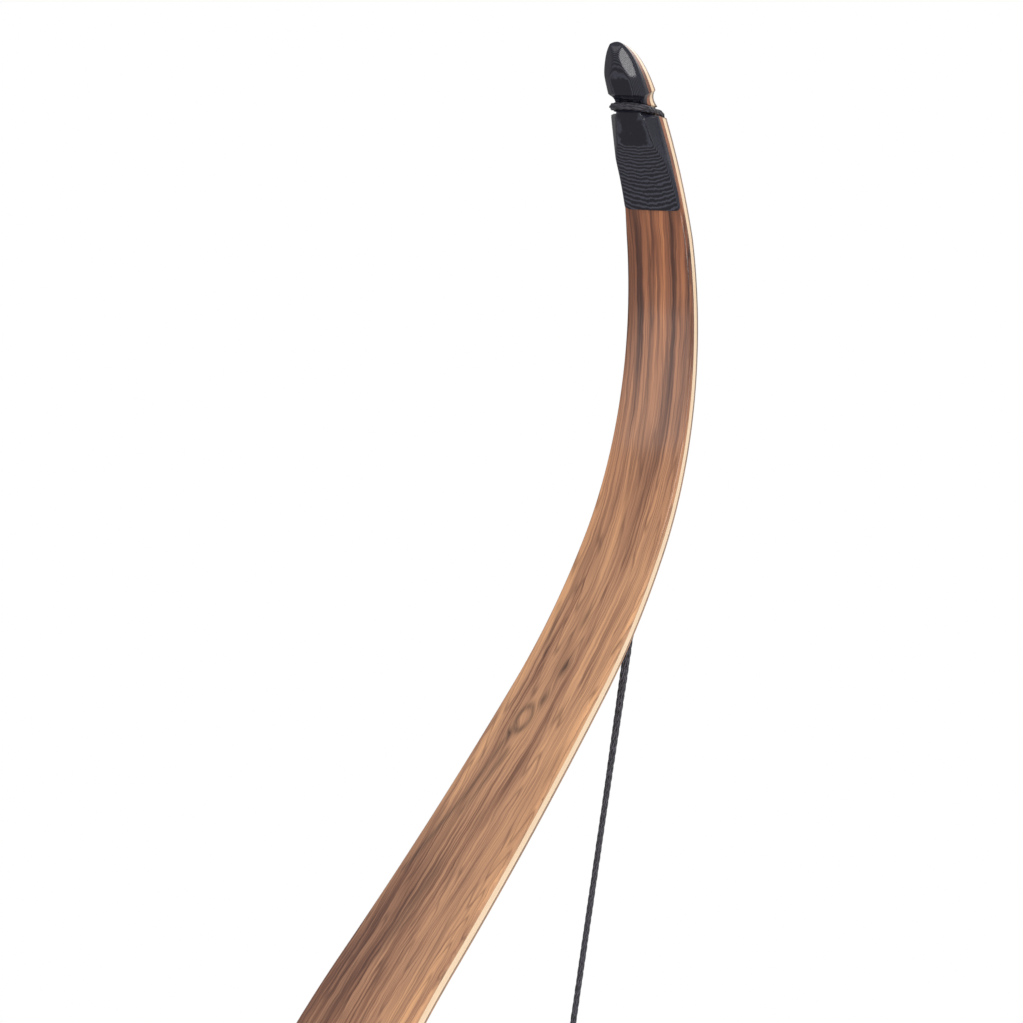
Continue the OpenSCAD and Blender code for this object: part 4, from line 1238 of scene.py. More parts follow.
@dataclass
class TipOverlay:
    """The dark overlay of the tip: a hollowed ramp, two bevels, a saddle for the string and the head."""

    line: LimbLine = LINE
    foot_t: float = 0.5
    ramp_len: float = 25.0
    ramp_hollow: float = 0.2
    head_power: float = 4.5
    head_facets: tuple[tuple[Point, Point], ...] = (
        ((4.4, 4.1, 9.6), (1.0, 1.8, 0.0)), ((4.1, 3.8, 12.3), (1.0, 1.8, 0.59)),
    )
    bevel: tuple[Point, Point] = ((4.4, 4.5, -2.0), (47.0, 59.0, 11.5))
    saddle_r: float = 3.4
    saddle_rise: float = 1.2
    saddle_lift: float = 1.2
    foot_r: float = 1.4
    crown: float = 0.16
    crown_x: float = 7.0
    bevel_blend: float = 0.35
    facet_blend: float = 0.4
    saddle_blend: float = 0.3
    head_before: float = 0.4
    head_run: float = 2.8
    rim_rounds: int = 4
    rim_share: float = 0.95
    wall_steps: int = 6
    top_steps: int = 41

    def profile(self, u: float) -> float:
        """Height of the overlay along its middle."""
        line = self.line
        x = (u - line.foot_u) / self.ramp_len
        y = (u - line.end_u + line.head_round) / line.head_round
        if x < 1:
            hollow = 1 - self.ramp_hollow + self.ramp_hollow * x
            return self.foot_t + (line.overlay_t - self.foot_t) * max(0.0, x) * hollow
        return line.overlay_t * math.sqrt(max(0.0, 1 - max(0.0, y) ** self.head_power))

    def height(self, u: float, x: float) -> float:
        """Height of the surface above the limb's back, with facets, bevels and saddle."""
        line = self.line
        y0, z0 = line.at_nock(*line.point(u, 0.0))
        y1, z1 = line.at_nock(*line.point(u, -1.0))
        up, on = y1 - y0, z1 - z0
        tall = self.profile(u) - self.crown * (x / self.crown_x) ** 2

        def below(cut: tuple[Point, Point], most: float, blend: float) -> float:
            """A height once a plane has cut it."""
            (px, py, pz), (a, b, c) = cut
            plane = (a * (px - abs(x)) + b * (py - y0) + c * (pz - z0)) / (b * up + c * on)
            return soft_min(most, plane, blend)

        # The bevels give way to the head's facets over a short run at the nock
        share = min(1.0, max(0.0, (z0 + self.head_before) / self.head_run))
        low = below(self.bevel, tall, self.bevel_blend) if share < 1 else 0.0
        high = tall
        if share > 0:
            for cut in self.head_facets:
                high = below(cut, high, self.facet_blend)
        tall = low * (1 - share) + high * share
        gap = z0 + on * tall - self.saddle_rise
        if abs(gap) < self.saddle_r:
            saddle = line.overlay_t + self.saddle_lift - math.sqrt(self.saddle_r**2 - gap * gap)
            tall = soft_min(tall, (saddle - y0) / up, self.saddle_blend)
        return max(0.0, tall)

    def rim(self, u: float) -> float:
        """Height of the overlay at its edge, before that is rounded."""
        top = self.height(u, self.line.limit(u, 0.0) * 0.9)
        for _ in range(self.rim_rounds):
            # Beside a groove the edge stands further out, where a bevel has taken its height
            top = min(top, self.height(u, self.line.limit(u, -top) * self.rim_share))
        return top

    def corner(self, u: float) -> float:
        """How far the rounded corners of the foot take the edge in."""
        return eased(self.foot_r, u - self.line.foot_u)

    def section(self, u: float) -> Ring:
        """The outline of the overlay at one distance along the limb."""
        line = self.line
        top = self.rim(u)
        brim = line.limit(u, -top) - self.corner(u)
        r = min(line.arris(u), 0.9 * brim)
        levels = [top * i / self.wall_steps for i in range(self.wall_steps)]

        def half(height: float) -> float:
            """Half the width at a height above the back."""
            return max(0.01, line.limit(u, -height) - line.inset(u, top - height) - self.corner(u))

        ring: list[Point] = [(half(height), *line.point(u, -height)) for height in levels]
        wide = half(levels[-1])
        for i in range(1, self.top_steps):
            x = wide * math.cos(math.pi * i / self.top_steps)
            fall = eased(r, brim - abs(x))
            ring.append((x, *line.point(u, -max(levels[-1], self.height(u, x) - fall))))
        return ring + [(-half(height), *line.point(u, -height)) for height in reversed(levels)]

    def mesh(self, name: str, side: Side) -> bpy.types.Mesh:
        """Skins the overlay and notes the height of each point for its contour lines."""
        line = self.line
        nock = line.nock_u
        places = spread(line.foot_u, line.foot_u + 2.4, 0.2) + spread(line.foot_u + 2.4, nock - 10, 0.8)
        places += spread(nock - 10, nock + line.saddle_end, 0.3) + line.head_places(36)
        places = [u for i, u in enumerate(places) if i == 0 or u > places[i - 1] + SECTION_GAP]
        places[-1] = line.end_u - END_GAP
        made = Shape().loft([self.section(u) for u in places]).mesh(name, side)
        add_flow(made, side)
        return made


# ---- what is wound or grown ----


class MeshTree:
    """A geometry node tree with named inputs, which makes one mesh out of a path or a surface."""

    def __init__(self, name: str, inputs: dict[str, tuple[str, float | None]]) -> None:
        """Makes the tree with its inputs.

        Args:
            name: The tree's name.
            inputs: The kind of each input, and its value where it has a fixed one.
        """
        self.tree = bpy.data.node_groups.new(name, "GeometryNodeTree")
        self.graph = Graph(self.tree)
        self.tree.interface.new_socket("Geometry", in_out="OUTPUT", socket_type="NodeSocketGeometry")
        for label, (kind, value) in inputs.items():
            socket = self.tree.interface.new_socket(label, in_out="INPUT", socket_type="NodeSocket" + kind)
            if value is not None:
                socket.default_value = value
        self.given = self.graph.add("NodeGroupInput").outputs

    def note(self, geometry: Socket, name: str, value: Socket, kind: str = "FLOAT") -> Socket:
        """Keeps a value on each point under a name."""
        inputs = {"Geometry": geometry, "Name": name, "Value": value}
        node = self.graph.add("GeometryNodeStoreNamedAttribute", inputs, data_type=kind, domain="POINT")
        return node.outputs[0]

    def close(self, geometry: Socket) -> None:
        """Makes the instances real, gives them the finish and ends the tree."""
        real = self.graph.add("GeometryNodeRealizeInstances", {0: geometry}).outputs[0]
        inputs = {"Geometry": real, "Material": self.given["Finish"]}
        dressed = self.graph.add("GeometryNodeSetMaterial", inputs)
        self.graph.add("NodeGroupOutput", {0: dressed.outputs[0]})

    def grow(self, name: str, start: bpy.types.ID, sizes: dict[str, object]) -> bpy.types.Mesh:
        """Runs the tree.

        Args:
            name: The name of the new mesh.
            start: The curve or mesh that the tree works on, in metres.
            sizes: Its inputs by name.

        Returns:
            The new mesh.
        """
        holder = bpy.data.objects.new(name, start)
        bpy.context.scene.collection.objects.link(holder)
        maker = holder.modifiers.new(self.tree.name, "NODES")
        maker.node_group = self.tree
        for item in self.tree.interface.items_tree:
            if item.in_out == "INPUT" and item.name in sizes:
                maker[item.identifier] = sizes[item.name]
        bpy.context.view_layer.update()
        made = bpy.data.meshes.new_from_object(holder.evaluated_get(bpy.context.evaluated_depsgraph_get()))
        bpy.data.objects.remove(holder)
        made.name = name
        return made


class TwistTree(MeshTree):
    """Winds round strands about a path."""

    def __init__(self) -> None:
        """Builds the tree with named inputs for its sizes."""
        super().__init__("wind_strands", {
            "Path": ("Geometry", None), "Strands": ("Int", None), "Lay": ("Float", None),
            "Step": ("Float", None), "Spread": ("Float", None), "Thickness": ("Float", None),
            "Sides": ("Int", None), "Finish": ("Material", None),
        })
        graph, given = self.graph, self.given
        path = {"Curve": given["Path"], "Length": given["Step"]}
        fine = graph.add("GeometryNodeResampleCurve", path, mode="LENGTH").outputs[0]
        inputs = {"Geometry": fine, "Amount": given["Strands"]}
        copies = graph.add("GeometryNodeDuplicateElements", inputs, domain="SPLINE").outputs
        along = graph.add("GeometryNodeSplineParameter").outputs["Length"]
        turns = graph.math("DIVIDE", along, given["Lay"])
        share = graph.math("DIVIDE", copies["Duplicate Index"], given["Strands"])
        angle = graph.math("MULTIPLY", graph.math("ADD", turns, share), 2 * math.pi)
        normal = graph.add("GeometryNodeInputNormal").outputs[0]
        other = graph.vector("CROSS_PRODUCT", graph.add("GeometryNodeInputTangent").outputs[0], normal)
        first = graph.scaled(normal, graph.math("COSINE", angle))
        second = graph.scaled(other, graph.math("SINE", angle))
        radius = graph.add("GeometryNodeInputRadius").outputs[0]
        far = graph.math("MULTIPLY", radius, given["Spread"])
        shift = graph.scaled(graph.vector("ADD", first, second), far)
        kept = self.note(copies["Geometry"], "run", along)
        wound = graph.add("GeometryNodeSetPosition", {"Geometry": kept, "Offset": shift}).outputs[0]
        thick = graph.math("MULTIPLY", radius, given["Thickness"])
        sized = graph.add("GeometryNodeSetCurveRadius", {"Curve": wound, "Radius": thick}).outputs[0]
        circle = graph.add("GeometryNodeCurvePrimitiveCircle", {"Radius": 1.0, "Resolution": given["Sides"]})
        factor = graph.add("GeometryNodeSplineParameter").outputs["Factor"]
        skin = graph.add("GeometryNodeCurveToMesh", {
            "Curve": sized, "Profile Curve": self.note(circle.outputs[0], "round", factor),
            "Scale": graph.add("GeometryNodeInputRadius").outputs[0], "Fill Caps": True,
        })
        run, turn = (
            graph.add("GeometryNodeInputNamedAttribute", {"Name": name}, data_type="FLOAT").outputs[0]
            for name in ("run", "round")
        )
        noted = self.note(skin.outputs[0], "lay", graph.joined(run, turn), "FLOAT_VECTOR")
        self.close(graph.add("GeometryNodeSetShadeSmooth", {0: noted}).outputs[0])

    def wind(self, name: str, runs: list[Run], sizes: dict[str, object]) -> bpy.types.Mesh:
        """Winds strands along paths.

        Args:
            name: The name of the mesh.
            runs: One or more paths, each a list of points with the radius there, in millimetres.
            sizes: The tree's inputs by name.

        Returns:
            The wound mesh.
        """
        curve = bpy.data.curves.new(name + "_path", "CURVE")
        curve.dimensions = "3D"
        for run in runs:
            spline = curve.splines.new("POLY")
            spline.points.add(len(run) - 1)
            for spot, (place, radius) in zip(spline.points, run):
                spot.co = (*(v * MM for v in place), 1.0)
                spot.radius = radius * MM
        made = self.grow(name, curve, sizes)
        bpy.data.curves.remove(curve)
        return made


class PileTree(MeshTree):
    """Grows short fibres on a surface."""

    def __init__(self) -> None:
        """Builds the tree with named inputs for its sizes, in metres."""
        super().__init__("grow_pile", {
            "Ground": ("Geometry", None), "Density": ("Float", 7.0e6), "Fibre Length": ("Float", 0.00105),
            "Fibre Width": ("Float", 0.00024), "Seed": ("Int", 7), "Finish": ("Material", None),
        })
        graph, given = self.graph, self.given
        seed = {"Seed": given["Seed"]}
        ground = {"Mesh": given["Ground"], "Density": given["Density"], **seed}
        points = graph.add("GeometryNodeDistributePointsOnFaces", ground).outputs[0]
        fibre = graph.add("GeometryNodeMeshCone", {
            "Vertices": 3, "Radius Top": 0.00006, "Radius Bottom": given["Fibre Width"],
            "Depth": given["Fibre Length"],
        }).outputs[0]
        leans = {0: (-0.5, -0.5, 0.0), 1: (0.5, 0.5, 6.28), **seed}
        lean = graph.add("FunctionNodeRandomValue", leans, data_type="FLOAT_VECTOR").outputs[0]
        size = graph.add("FunctionNodeRandomValue", {2: 0.65, 3: 1.0, **seed}, data_type="FLOAT").outputs[1]
        planted = {"Points": points, "Instance": fibre, "Rotation": lean, "Scale": size}
        self.close(graph.add("GeometryNodeInstanceOnPoints", planted).outputs[0])


# ---- the string ----


@dataclass
class Bowstring:
    """The string with its two spliced loops, the centre serving and the nocking point."""

    line: LimbLine = LINE
    string_r: float = 1.1
    splice_r: float = 1.45
    splice_len: float = 180.0
    splice_taper: float = 45.0
    gap: float = 0.3
    loop_r: float = 1.35
    loop_steps: int = 8
    lay: float = 15.0
    serving_t: float = 0.4
    serving_pitch: float = 0.42
    serving_z: Pair = (-78.0, 122.0)
    nock_z: Pair = (42.0, 46.0)
    nock_t: float = 1.3
    nock_ease: float = 0.3
    nock_gap: float = 0.4

    def belly(self, u: float) -> Point:
        """A point of the string where it lies along the belly."""
        y, z = self.line.point(u, self.line.depth(7, u) + self.splice_r + self.gap)
        return 0.0, y, z

    def run(self) -> Run:
        """The string from one nock to the other, with its radius."""
        line = self.line
        hook_len, hook_turn = line.stretches[4]
        lift = line.tip_u - hook_len * -math.degrees(line.lean(line.tip_u)) / -hook_turn
        half = [(self.belly(u), self.splice_r) for u in reversed(spread(lift, line.nock_u - 30, 2.0))]
        y, top = half[-1][0][1], line.back(line.nock_u)[1]
        for fall in (self.splice_len, self.splice_len + self.splice_taper):
            r = self.splice_r if fall == self.splice_len else self.string_r
            half.append(((0.0, y, top - fall), r))
        return half + [((x, y, -z), r) for (x, y, z), r in reversed(half)]

    def loop(self) -> Run:
        """The upper loop: up the belly, through the grooves and over the back."""
        line = self.line
        top = -line.overlay_t - 0.15
        wide = line.groove_x

        def low(fall: float) -> float:
            """Depth of the loop where it lies under the belly."""
            return line.depth(7, line.nock_u - fall) + self.splice_r + self.gap

        def groove(x: float, depth: float) -> Point:
            """A point in the string's groove."""
            return x, depth, (depth + line.overlay_t) * math.tan(math.radians(line.groove_slant))

        knots = [
            (0.7, low(34), 34.0), (1.5, low(30), 30.0), (2.2, low(24), 24.0), (3.1, low(18), 18.0),
            (4.0, low(14.2), 14.2), (4.9, low(11.2), 11.2), groove(wide - 0.7, low(8) - 0.3),
            groove(wide - 0.9, 4.2), groove(wide - 0.3, 1.2), groove(wide, -1.8),
            (wide - 0.6, top + 0.8, 0.4), (4.0, top, -0.4), (2.2, top - 0.1, -0.6), (0.0, top - 0.1, -0.7),
        ]
        route = knots + [(-x, d, f) for x, d, f in reversed(knots[:-1])]
        fine: list[Point] = []
        points = [Vector(p) for p in route]
        for i in range(len(points) - 1):
            a, b = points[max(0, i - 1)], points[i]
            c, d = points[i + 1], points[min(len(points) - 1, i + 2)]
            square, cube = 2 * a - 5 * b + 4 * c - d, 3 * b - a - 3 * c + d
            for k in range(self.loop_steps):
                t = k / self.loop_steps
                fine.append(tuple(0.5 * (2 * b + (c - a) * t + square * t * t + cube * t**3)))
        fine.append(tuple(points[-1]))
        placed = []
        for x, depth, fall in fine:
            y, z = line.point(line.nock_u - fall, depth)
            placed.append(((x, y, z), self.loop_r))
        return placed

    def build(self, winder: TwistTree) -> None:
        """Winds the string and what is on it."""
        upper = self.loop()
        lower = [((x, y, -z), r) for (x, y, z), r in upper]
        sizes = {
            "Strands": 5, "Lay": self.lay * MM, "Step": 1.2 * MM, "Spread": 0.52, "Thickness": 0.43,
            "Sides": 7, "Finish": TWIST.material(),
        }
        mesh = winder.wind("twisted_string", [self.run(), upper, lower], sizes)
        place_piece("twisted_bowstring", mesh, ("bowstring",), "string_fibre")
        self.build_serving(winder, self.run()[len(self.run()) // 2][0][1])

    def build_serving(self, winder: TwistTree, y: float) -> None:
        """Winds the centre serving and crimps the nocking point on it.

        Args:
            winder: The tree that winds strands.
            y: How far forward the string lies.
        """
        thread = self.serving_t / 2
        reach, turn = self.string_r + thread, 16
        low, high = self.serving_z
        count = int((high - low - 2 * thread) / self.serving_pitch * turn)
        helix = []
        for k in range(count + 1):
            a = 2 * math.pi * k / turn
            z = low + thread + (high - low - 2 * thread) * k / count
            helix.append(((reach * math.cos(a), y + reach * math.sin(a), z), thread))
        sizes = {
            "Strands": 1, "Lay": 3.0 * MM, "Step": 0.5 * MM, "Spread": 0.0, "Thickness": 1.0,
            "Sides": 5, "Finish": SERVING.material(),
        }
        mesh = winder.wind("serving", [helix], sizes)
        place_piece("wound_serving", mesh, ("centre_serving",), "serving_thread")
        served = self.string_r + self.serving_t
        inner, outer = served + 0.01, served + self.nock_t
        z0, z1 = self.nock_z
        e = self.nock_ease
        section = [(inner, z0 + e), (inner + e, z0), (outer - e, z0), (outer, z0 + e), (outer, z1 - e)]
        section += [(outer - e, z1), (inner + e, z1), (inner, z1 - e)]
        rings = []
        gap = self.nock_gap / outer
        for a in spread(gap, 2 * math.pi - gap, 0.13):
            rings.append([(r * math.sin(a), y + r * math.cos(a), z) for r, z in section])
        mesh = Shape().loft(rings).mesh("nock_ring")
        finish_piece("crimped_nock_ring", mesh, [NOCK_BRASS], ("nocking_point",), "nock_brass")


# ---- the riser ----


@dataclass(frozen=True)
class FairLine:
    """A smooth line through a list of heights, with a value at each."""

    marks: tuple[Pair, ...]

    def slope(self, i: int) -> float:
        """The line's slope at one of its marks, level at both ends."""
        if i in (0, len(self.marks) - 1):
            return 0.0
        (z0, v0), (z1, v1) = self.marks[i - 1], self.marks[i + 1]
        return (v1 - v0) / (z1 - z0)

    def at(self, z: float) -> float:
        """The line's value at a height."""
        last = len(self.marks) - 1
        i = next((k for k in range(1, last) if z < self.marks[k][0]), last)
        (z0, v0), (z1, v1) = self.marks[i - 1], self.marks[i]
        h = z1 - z0
        x = (z - z0) / h
        start = v0 * (1 + 2 * x) * (1 - x) ** 2 + h * self.slope(i - 1) * x * (1 - x) ** 2
        return start + v1 * x * x * (3 - 2 * x) + h * self.slope(i) * x * x * (x - 1)


@dataclass
class Riser:
    """The handle: a belly block, a pale stripe, a dark core, a pale stripe and a back block."""

    line: LimbLine = LINE
    width: float = 46.0
    end_depth: float = 15.0
    grip_depth: float = 44.0
    grip_w: float = 29.0
    heel_depth: float = 22.0
    crown_depth: float = 21.0
    core_half: float = 6.0
    stripe_t: float = 2.5
    layer_rise: float = 29.0
    layer_y: float = 22.0
    shelf_z: float = 28.0
    window_x: float = 3.0
    window_len: float = 96.0
    window_run: float = 24.0
    edge_r: float = 3.0
    insert_r: float = 6.0
    insert_len: float = 23.0
    pin_r: float = 3.0
    pin_depth: float = 11.0
    plunger_y: float = 6.0
    plunger_z: float = 44.0
    stabilizer_z: float = -78.0
    stabilizer_len: float = 20.0
    bush_r: float = 5.5
    bush_bore: float = 3.45
    bush_ease: float = 0.4
    bush_cut: float = 0.3
    bush_pitch: float = 1.06
    butt_gap: float = 0.8

    def __post_init__(self) -> None:
        """Draws the lines that the handle's skin follows."""
        half = self.line.riser_half
        bed = half - self.line.pad_len * math.cos(math.radians(self.line.pad_lean))
        end = self.line.pad_y - self.end_depth
        side, grip, shelf, deep = self.width / 2, self.grip_w / 2, self.shelf_z, self.grip_depth
        heel, crown = -self.heel_depth, -self.crown_depth
        self.belly = FairLine((
            (-half, end), (-bed - 25, end + 3), (-bed + 18, -7), (-104, heel + 7), (-84, heel),
            (-48, heel / 2), (-16, -1.5), (0, 0), (13, -3), (shelf, crown * 0.6), (shelf + 20, crown),
            (shelf + 50, crown + 3), (bed, end + 3), (half, end),
        ))
        self.back = FairLine((
            (-half, deep + 2), (-bed, deep + 2), (-84, deep + 1), (-30, deep - 1), (0, deep),
            (shelf, deep + 3), (shelf + 55, deep + 4), (bed, deep + 2), (half, deep + 2),
        ))
        self.side = FairLine((
            (-half, side - 2), (-half + 9, side), (-bed, side), (-104, grip + 4.5), (-72, grip + 3),
            (-36, grip + 2), (-4, grip), (12, grip + 3), (shelf - 3, side - 1.5), (shelf + 20, side),
            (half - 9, side), (half, side - 2),
        ))
        self.belly_round = FairLine((
            (-half, 5), (-bed, 8), (-84, 12), (0, 13), (shelf + 10, 9), (bed, 7), (half, 5),
        ))
        self.back_round = FairLine((
            (-half, 3), (-bed, 4), (-84, 9), (-10, 12), (shelf, 8), (shelf + 50, 7), (bed, 4), (half, 3),
        ))

    @property
    def stabilizer_y(self) -> float:
        """The face of the stabilizer's bushing."""
        return self.back.at(self.stabilizer_z) - 0.3

    def joint(self, z: float, offset: float) -> float:
        """Where the face of a layer lies at a height. The layers are arcs round one axis."""
        half, rise = self.line.riser_half, self.layer_rise
        r = (half * half + rise * rise) / (2 * rise)
        return self.layer_y - r + math.sqrt((r + offset) ** 2 - z * z)

    def half_width(self, z: float, y: float) -> float:
        """Half the riser's width at a height and depth, within its rounded edges."""
        a, y0, y1 = self.side.at(z), self.belly.at(z), self.back.at(z)
        reach = self.core_half + self.stripe_t
        r0 = min(self.belly_round.at(z), 0.9 * (self.joint(z, -reach) - y0))
        r1 = min(self.back_round.at(z), 0.9 * (y1 - self.joint(z, reach)))
        if y < y0 + r0:
            return a - r0 + math.sqrt(max(0.0, r0 * r0 - (y0 + r0 - y) ** 2))
        if y > y1 - r1:
            return a - r1 + math.sqrt(max(0.0, r1 * r1 - (y - y1 + r1) ** 2))
        return a

    def path(self) -> list[Pair]:
        """Heights from foot to top, each with the place of the sight window's wall there."""
        half, shelf, wall, r = self.line.riser_half, self.shelf_z, self.window_x, self.edge_r
        open_side, brim, top = -self.width, -self.side.at(shelf), shelf + self.window_len
        turns = quarter(16)[1:]
        path = [(z, open_side) for z in spread(-half, shelf - r, 2.5)]
        path += [(shelf - r + r * math.sin(t), brim + r * (1 - math.cos(t))) for t in turns[1::3]]
        path += [(shelf, x) for x in spread(brim + r, wall, 3)[1:]]
        path += [(z, wall) for z in spread(shelf, top, 2.5)[1:]]
        run = wall + self.width / 2
        path += [(top + self.window_run * math.sin(t), wall - run * (1 - math.cos(t))) for t in turns]
        return path + [(z, open_side) for z in spread(top + self.window_run, half, 2.5)[1:]]

    def ring(self, z: float, wall: float, places: list[float]) -> Ring:
        """The outline of a layer at one height.

        Args:
            z: The height.
            wall: The place of the window's wall there.
            places: Depths at which the outline has a point on each side.

        Returns:
            The outline.
        """
        y0, y1, r = self.belly.at(z), self.back.at(z), self.edge_r
        right, left = [], []
        for y in places:
            half = self.half_width(z, y)
            right.append((half, y, z))
            left.append((max(-half, wall + eased(r, max(0.0, min(y - y0, y1 - y)))), y, z))
        return right + left[::-1]

    def layer(self, inner: float | None, outer: float | None) -> bpy.types.Mesh:
        """Builds the layer between two joints.

        Args:
            inner: Offset of the joint on the archer's side, or nothing for the belly block.
            outer: Offset of the joint on the target's side, or nothing for the back block.

        Returns:
            The layer with its bed, window and holes.
        """
        bow = [1 - math.cos(t) for t in quarter(16)]
        even = [k / 4 for k in range(5)]
        rings = []
        for z, wall in self.path():
            low = self.belly.at(z) if inner is None else self.joint(z, inner)
            high = self.back.at(z) if outer is None else self.joint(z, outer)
            shares = bow if inner is None else [1 - b for b in reversed(bow)] if outer is None else even
            rings.append(self.ring(z, wall, [low + (high - low) * share for share in shares]))
        return carve(Shape().loft(rings).mesh("riser_layer"), self.cutters())

    def cutters(self) -> list[bpy.types.Mesh]:
        """The beds for the limbs and the holes for inserts, pins and bushings."""
        line = self.line
        face = -line.depth(7, 0.0) - line.facing_t
        made = []
        for side in Side:
            foot, top = -self.butt_gap, 150.0
            corners = ((face, foot), (face + 70, foot), (face + 70, top), (face, top))
            bed = [[(x, *line.place(0.0, out, on)) for out, on in corners] for x in (-40.0, 40.0)]
            made.append(Shape().loft(bed).mesh("bed", side))
            made.append(line.hole(side, line.bolt_u, self.insert_r, face + 1, face - self.insert_len))
            made.append(line.hole(side, line.pin_u, self.pin_r, face + 1, face - self.pin_depth))
        low = (self.window_x - 1, self.plunger_y, self.plunger_z)
        made.append(rod(low, (self.width, self.plunger_y, self.plunger_z), self.bush_r).mesh("hole"))
        y = self.stabilizer_y
        back = (0.0, y - self.stabilizer_len, self.stabilizer_z)
        made.append(rod(back, (0.0, y + 20, self.stabilizer_z), self.bush_r).mesh("hole"))
        return made

    def build(self) -> None:
        """Builds and dresses the five layers and what is fixed to them."""
        reach, core = self.core_half + self.stripe_t, self.core_half
        for name, inner, outer, finish, slot in (
            ("belly_block", None, -reach, RISER_WOOD, "riser_wood"),
            ("rear_stripe", -reach, -core, STRIPE_MAPLE, "stripe_maple"),
            ("core", -core, core, CORE_LAMINATE, "black_laminate"),
            ("front_stripe", core, reach, STRIPE_MAPLE, "stripe_maple"),
            ("back_block", reach, None, RISER_WOOD, "riser_wood"),
        ):
            finish_piece(f"shaped_{name}", self.layer(inner, outer), [finish], (f"riser_{name}",), slot)
        self.build_bushings()
        for side in Side:
            self.build_seat(side)

    def build_bushings(self) -> None:
        """Turns the two threaded bushings, with a wider mouth to each thread."""
        bore, r, ease = self.bush_bore, self.bush_r, self.bush_ease
        thread = cut_thread(self.bush_cut, self.bush_pitch, bore)
        long = self.width / 2 - self.window_x - 0.5
        rows = spread(1.0, long - 1.0, 0.2)
        mouth = bore + 0.6
        ring = [(mouth, 0.0), (r - ease, 0.0), (r, ease), (r, long - ease), (r - ease, long), (mouth, long)]
        ring += [(bore, h) for h in reversed(rows)]
        through = turned(ring, (self.window_x, self.plunger_y, self.plunger_z), (1, 0, 0), thread)
        mesh = through.mesh("plunger_bush")
        finish_piece("threaded_plunger_bush", mesh, [BRASS], ("plunger_bushing",), "brass", sharp=25)
        long = self.stabilizer_len
        rows = spread(1.0, long - 1.5, 0.2)
        blind = [(0.0, long), (r - ease, long), (r, long - ease), (r, ease), (r - ease, 0.0), (mouth, 0.0)]
        blind += [(bore, h) for h in rows] + [(0.0, long - 1.0)]
        shape = turned(blind, (0.0, self.stabilizer_y, self.stabilizer_z), (0, -1, 0), thread)
        mesh = shape.mesh("stabilizer_bush")
        finish_piece("threaded_stabilizer_bush", mesh, [BRASS], ("stabilizer_bushing",), "brass", sharp=25)

    def build_seat(self, side: Side) -> None:
        """Builds the facing that a limb beds on."""
        line = self.line
        low = -line.depth(7, 0.0) - line.facing_t
        w = self.width / 2 - 1
        outline = [(-w, 0.0), (w, 0.0), (w, line.pad_len), (-w, line.pad_len)]
        shape = slab(outline, low, low + line.facing_t, 0.3, line.on_butt)
        sizes = ((line.bolt_u, line.bolt_hole_r), (line.pin_u, self.pin_r))
        holes = [line.hole(side, u, radius, low - 5, low + 8) for u, radius in sizes]
        mesh = carve(shape.mesh("facing", side), holes)
        word = side.word
        finish_piece(f"{word}_eased_facing", mesh, [CORE_LAMINATE], (f"{word}_pad_facing",), "black_laminate")


@dataclass
class ArrowRest:
    """The pile rug on the shelf and the leather plate beside it."""

    riser: Riser
    rug_w: float = 21.0
    rug_len: float = 44.0
    rug_y: float = 14.0
    backing_t: float = 0.5
    corner_r: float = 24.0
    plate_t: float = 1.5
    plate_h: float = 34.0
    plate_len: float = 40.0
    hole_r: float = 4.45

    @staticmethod
    def rounded(box: tuple[float, float, float, float], centre: Pair, radius: float) -> list[Pair]:
        """The outline of a rectangle whose corners are taken off by a circle.

        Args:
            box: Left, right, low and high sides of the rectangle.
            centre: The circle's centre.
            radius: The circle's radius.

        Returns:
            The outline, anticlockwise.
        """
        left, right, low, high = box
        mid = ((left + right) / 2, (low + high) / 2)
        outline = []
        for k in range(120):
            t = 2 * math.pi * (k + 0.5) / 120
            dx, dy = math.cos(t), math.sin(t)
            reach = [(right - mid[0]) / abs(dx), (high - mid[1]) / abs(dy)]
            fx, fy = mid[0] - centre[0], mid[1] - centre[1]
            b = fx * dx + fy * dy
            reach.append(-b + math.sqrt(b * b - fx * fx - fy * fy + radius * radius))
            outline.append((mid[0] + dx * min(reach), mid[1] + dy * min(reach)))
        return outline

    def build(self) -> None:
        """Builds the rug's backing, its pile and the plate."""
        riser = self.riser
        wall = riser.window_x - self.plate_t
        box = (wall - self.rug_w, wall, self.rug_y - self.rug_len / 2, self.rug_y + self.rug_len / 2)
        outline = self.rounded(box, (0.0, self.rug_y), self.corner_r)
        z = riser.shelf_z
        base = slab(outline, z, z + self.backing_t, 0.1, lambda x, y, h: (x, y, h))
        finish_piece("rug_backing", base.mesh("backing"), [RUG], ("shelf_rug",), "rug")
        ground = bpy.data.meshes.new("pile_ground")
        inner = [(x + (wall - self.rug_w / 2 - x) * 0.04, y + (self.rug_y - y) * 0.02) for x, y in outline]
        level = z + self.backing_t - 0.05
        ground.from_pydata([(x * MM, y * MM, level * MM) for x, y in inner], [], [tuple(range(len(inner)))])
        pile = PileTree().grow("rug_pile", ground, {"Finish": RUG.material()})
        bpy.data.meshes.remove(ground)
        place_piece("rug_pile", pile, ("shelf_rug",), "rug")
        side = (self.rug_y - self.plate_len / 2, self.rug_y + self.plate_len / 2, z, z + self.plate_h)
        outline = self.rounded(side, (self.rug_y, z), self.plate_h)
        plate = slab(outline, wall, riser.window_x, 0.45, lambda y, up, x: (x, y, up)).mesh("plate")
        start, end = ((x, riser.plunger_y, riser.plunger_z) for x in (wall - 2, riser.window_x + 2))
        mesh = carve(plate, [rod(start, end, self.hole_r).mesh("hole")])
        finish_piece("leather_side_plate", mesh, [LEATHER], ("side_plate",), "side_leather")


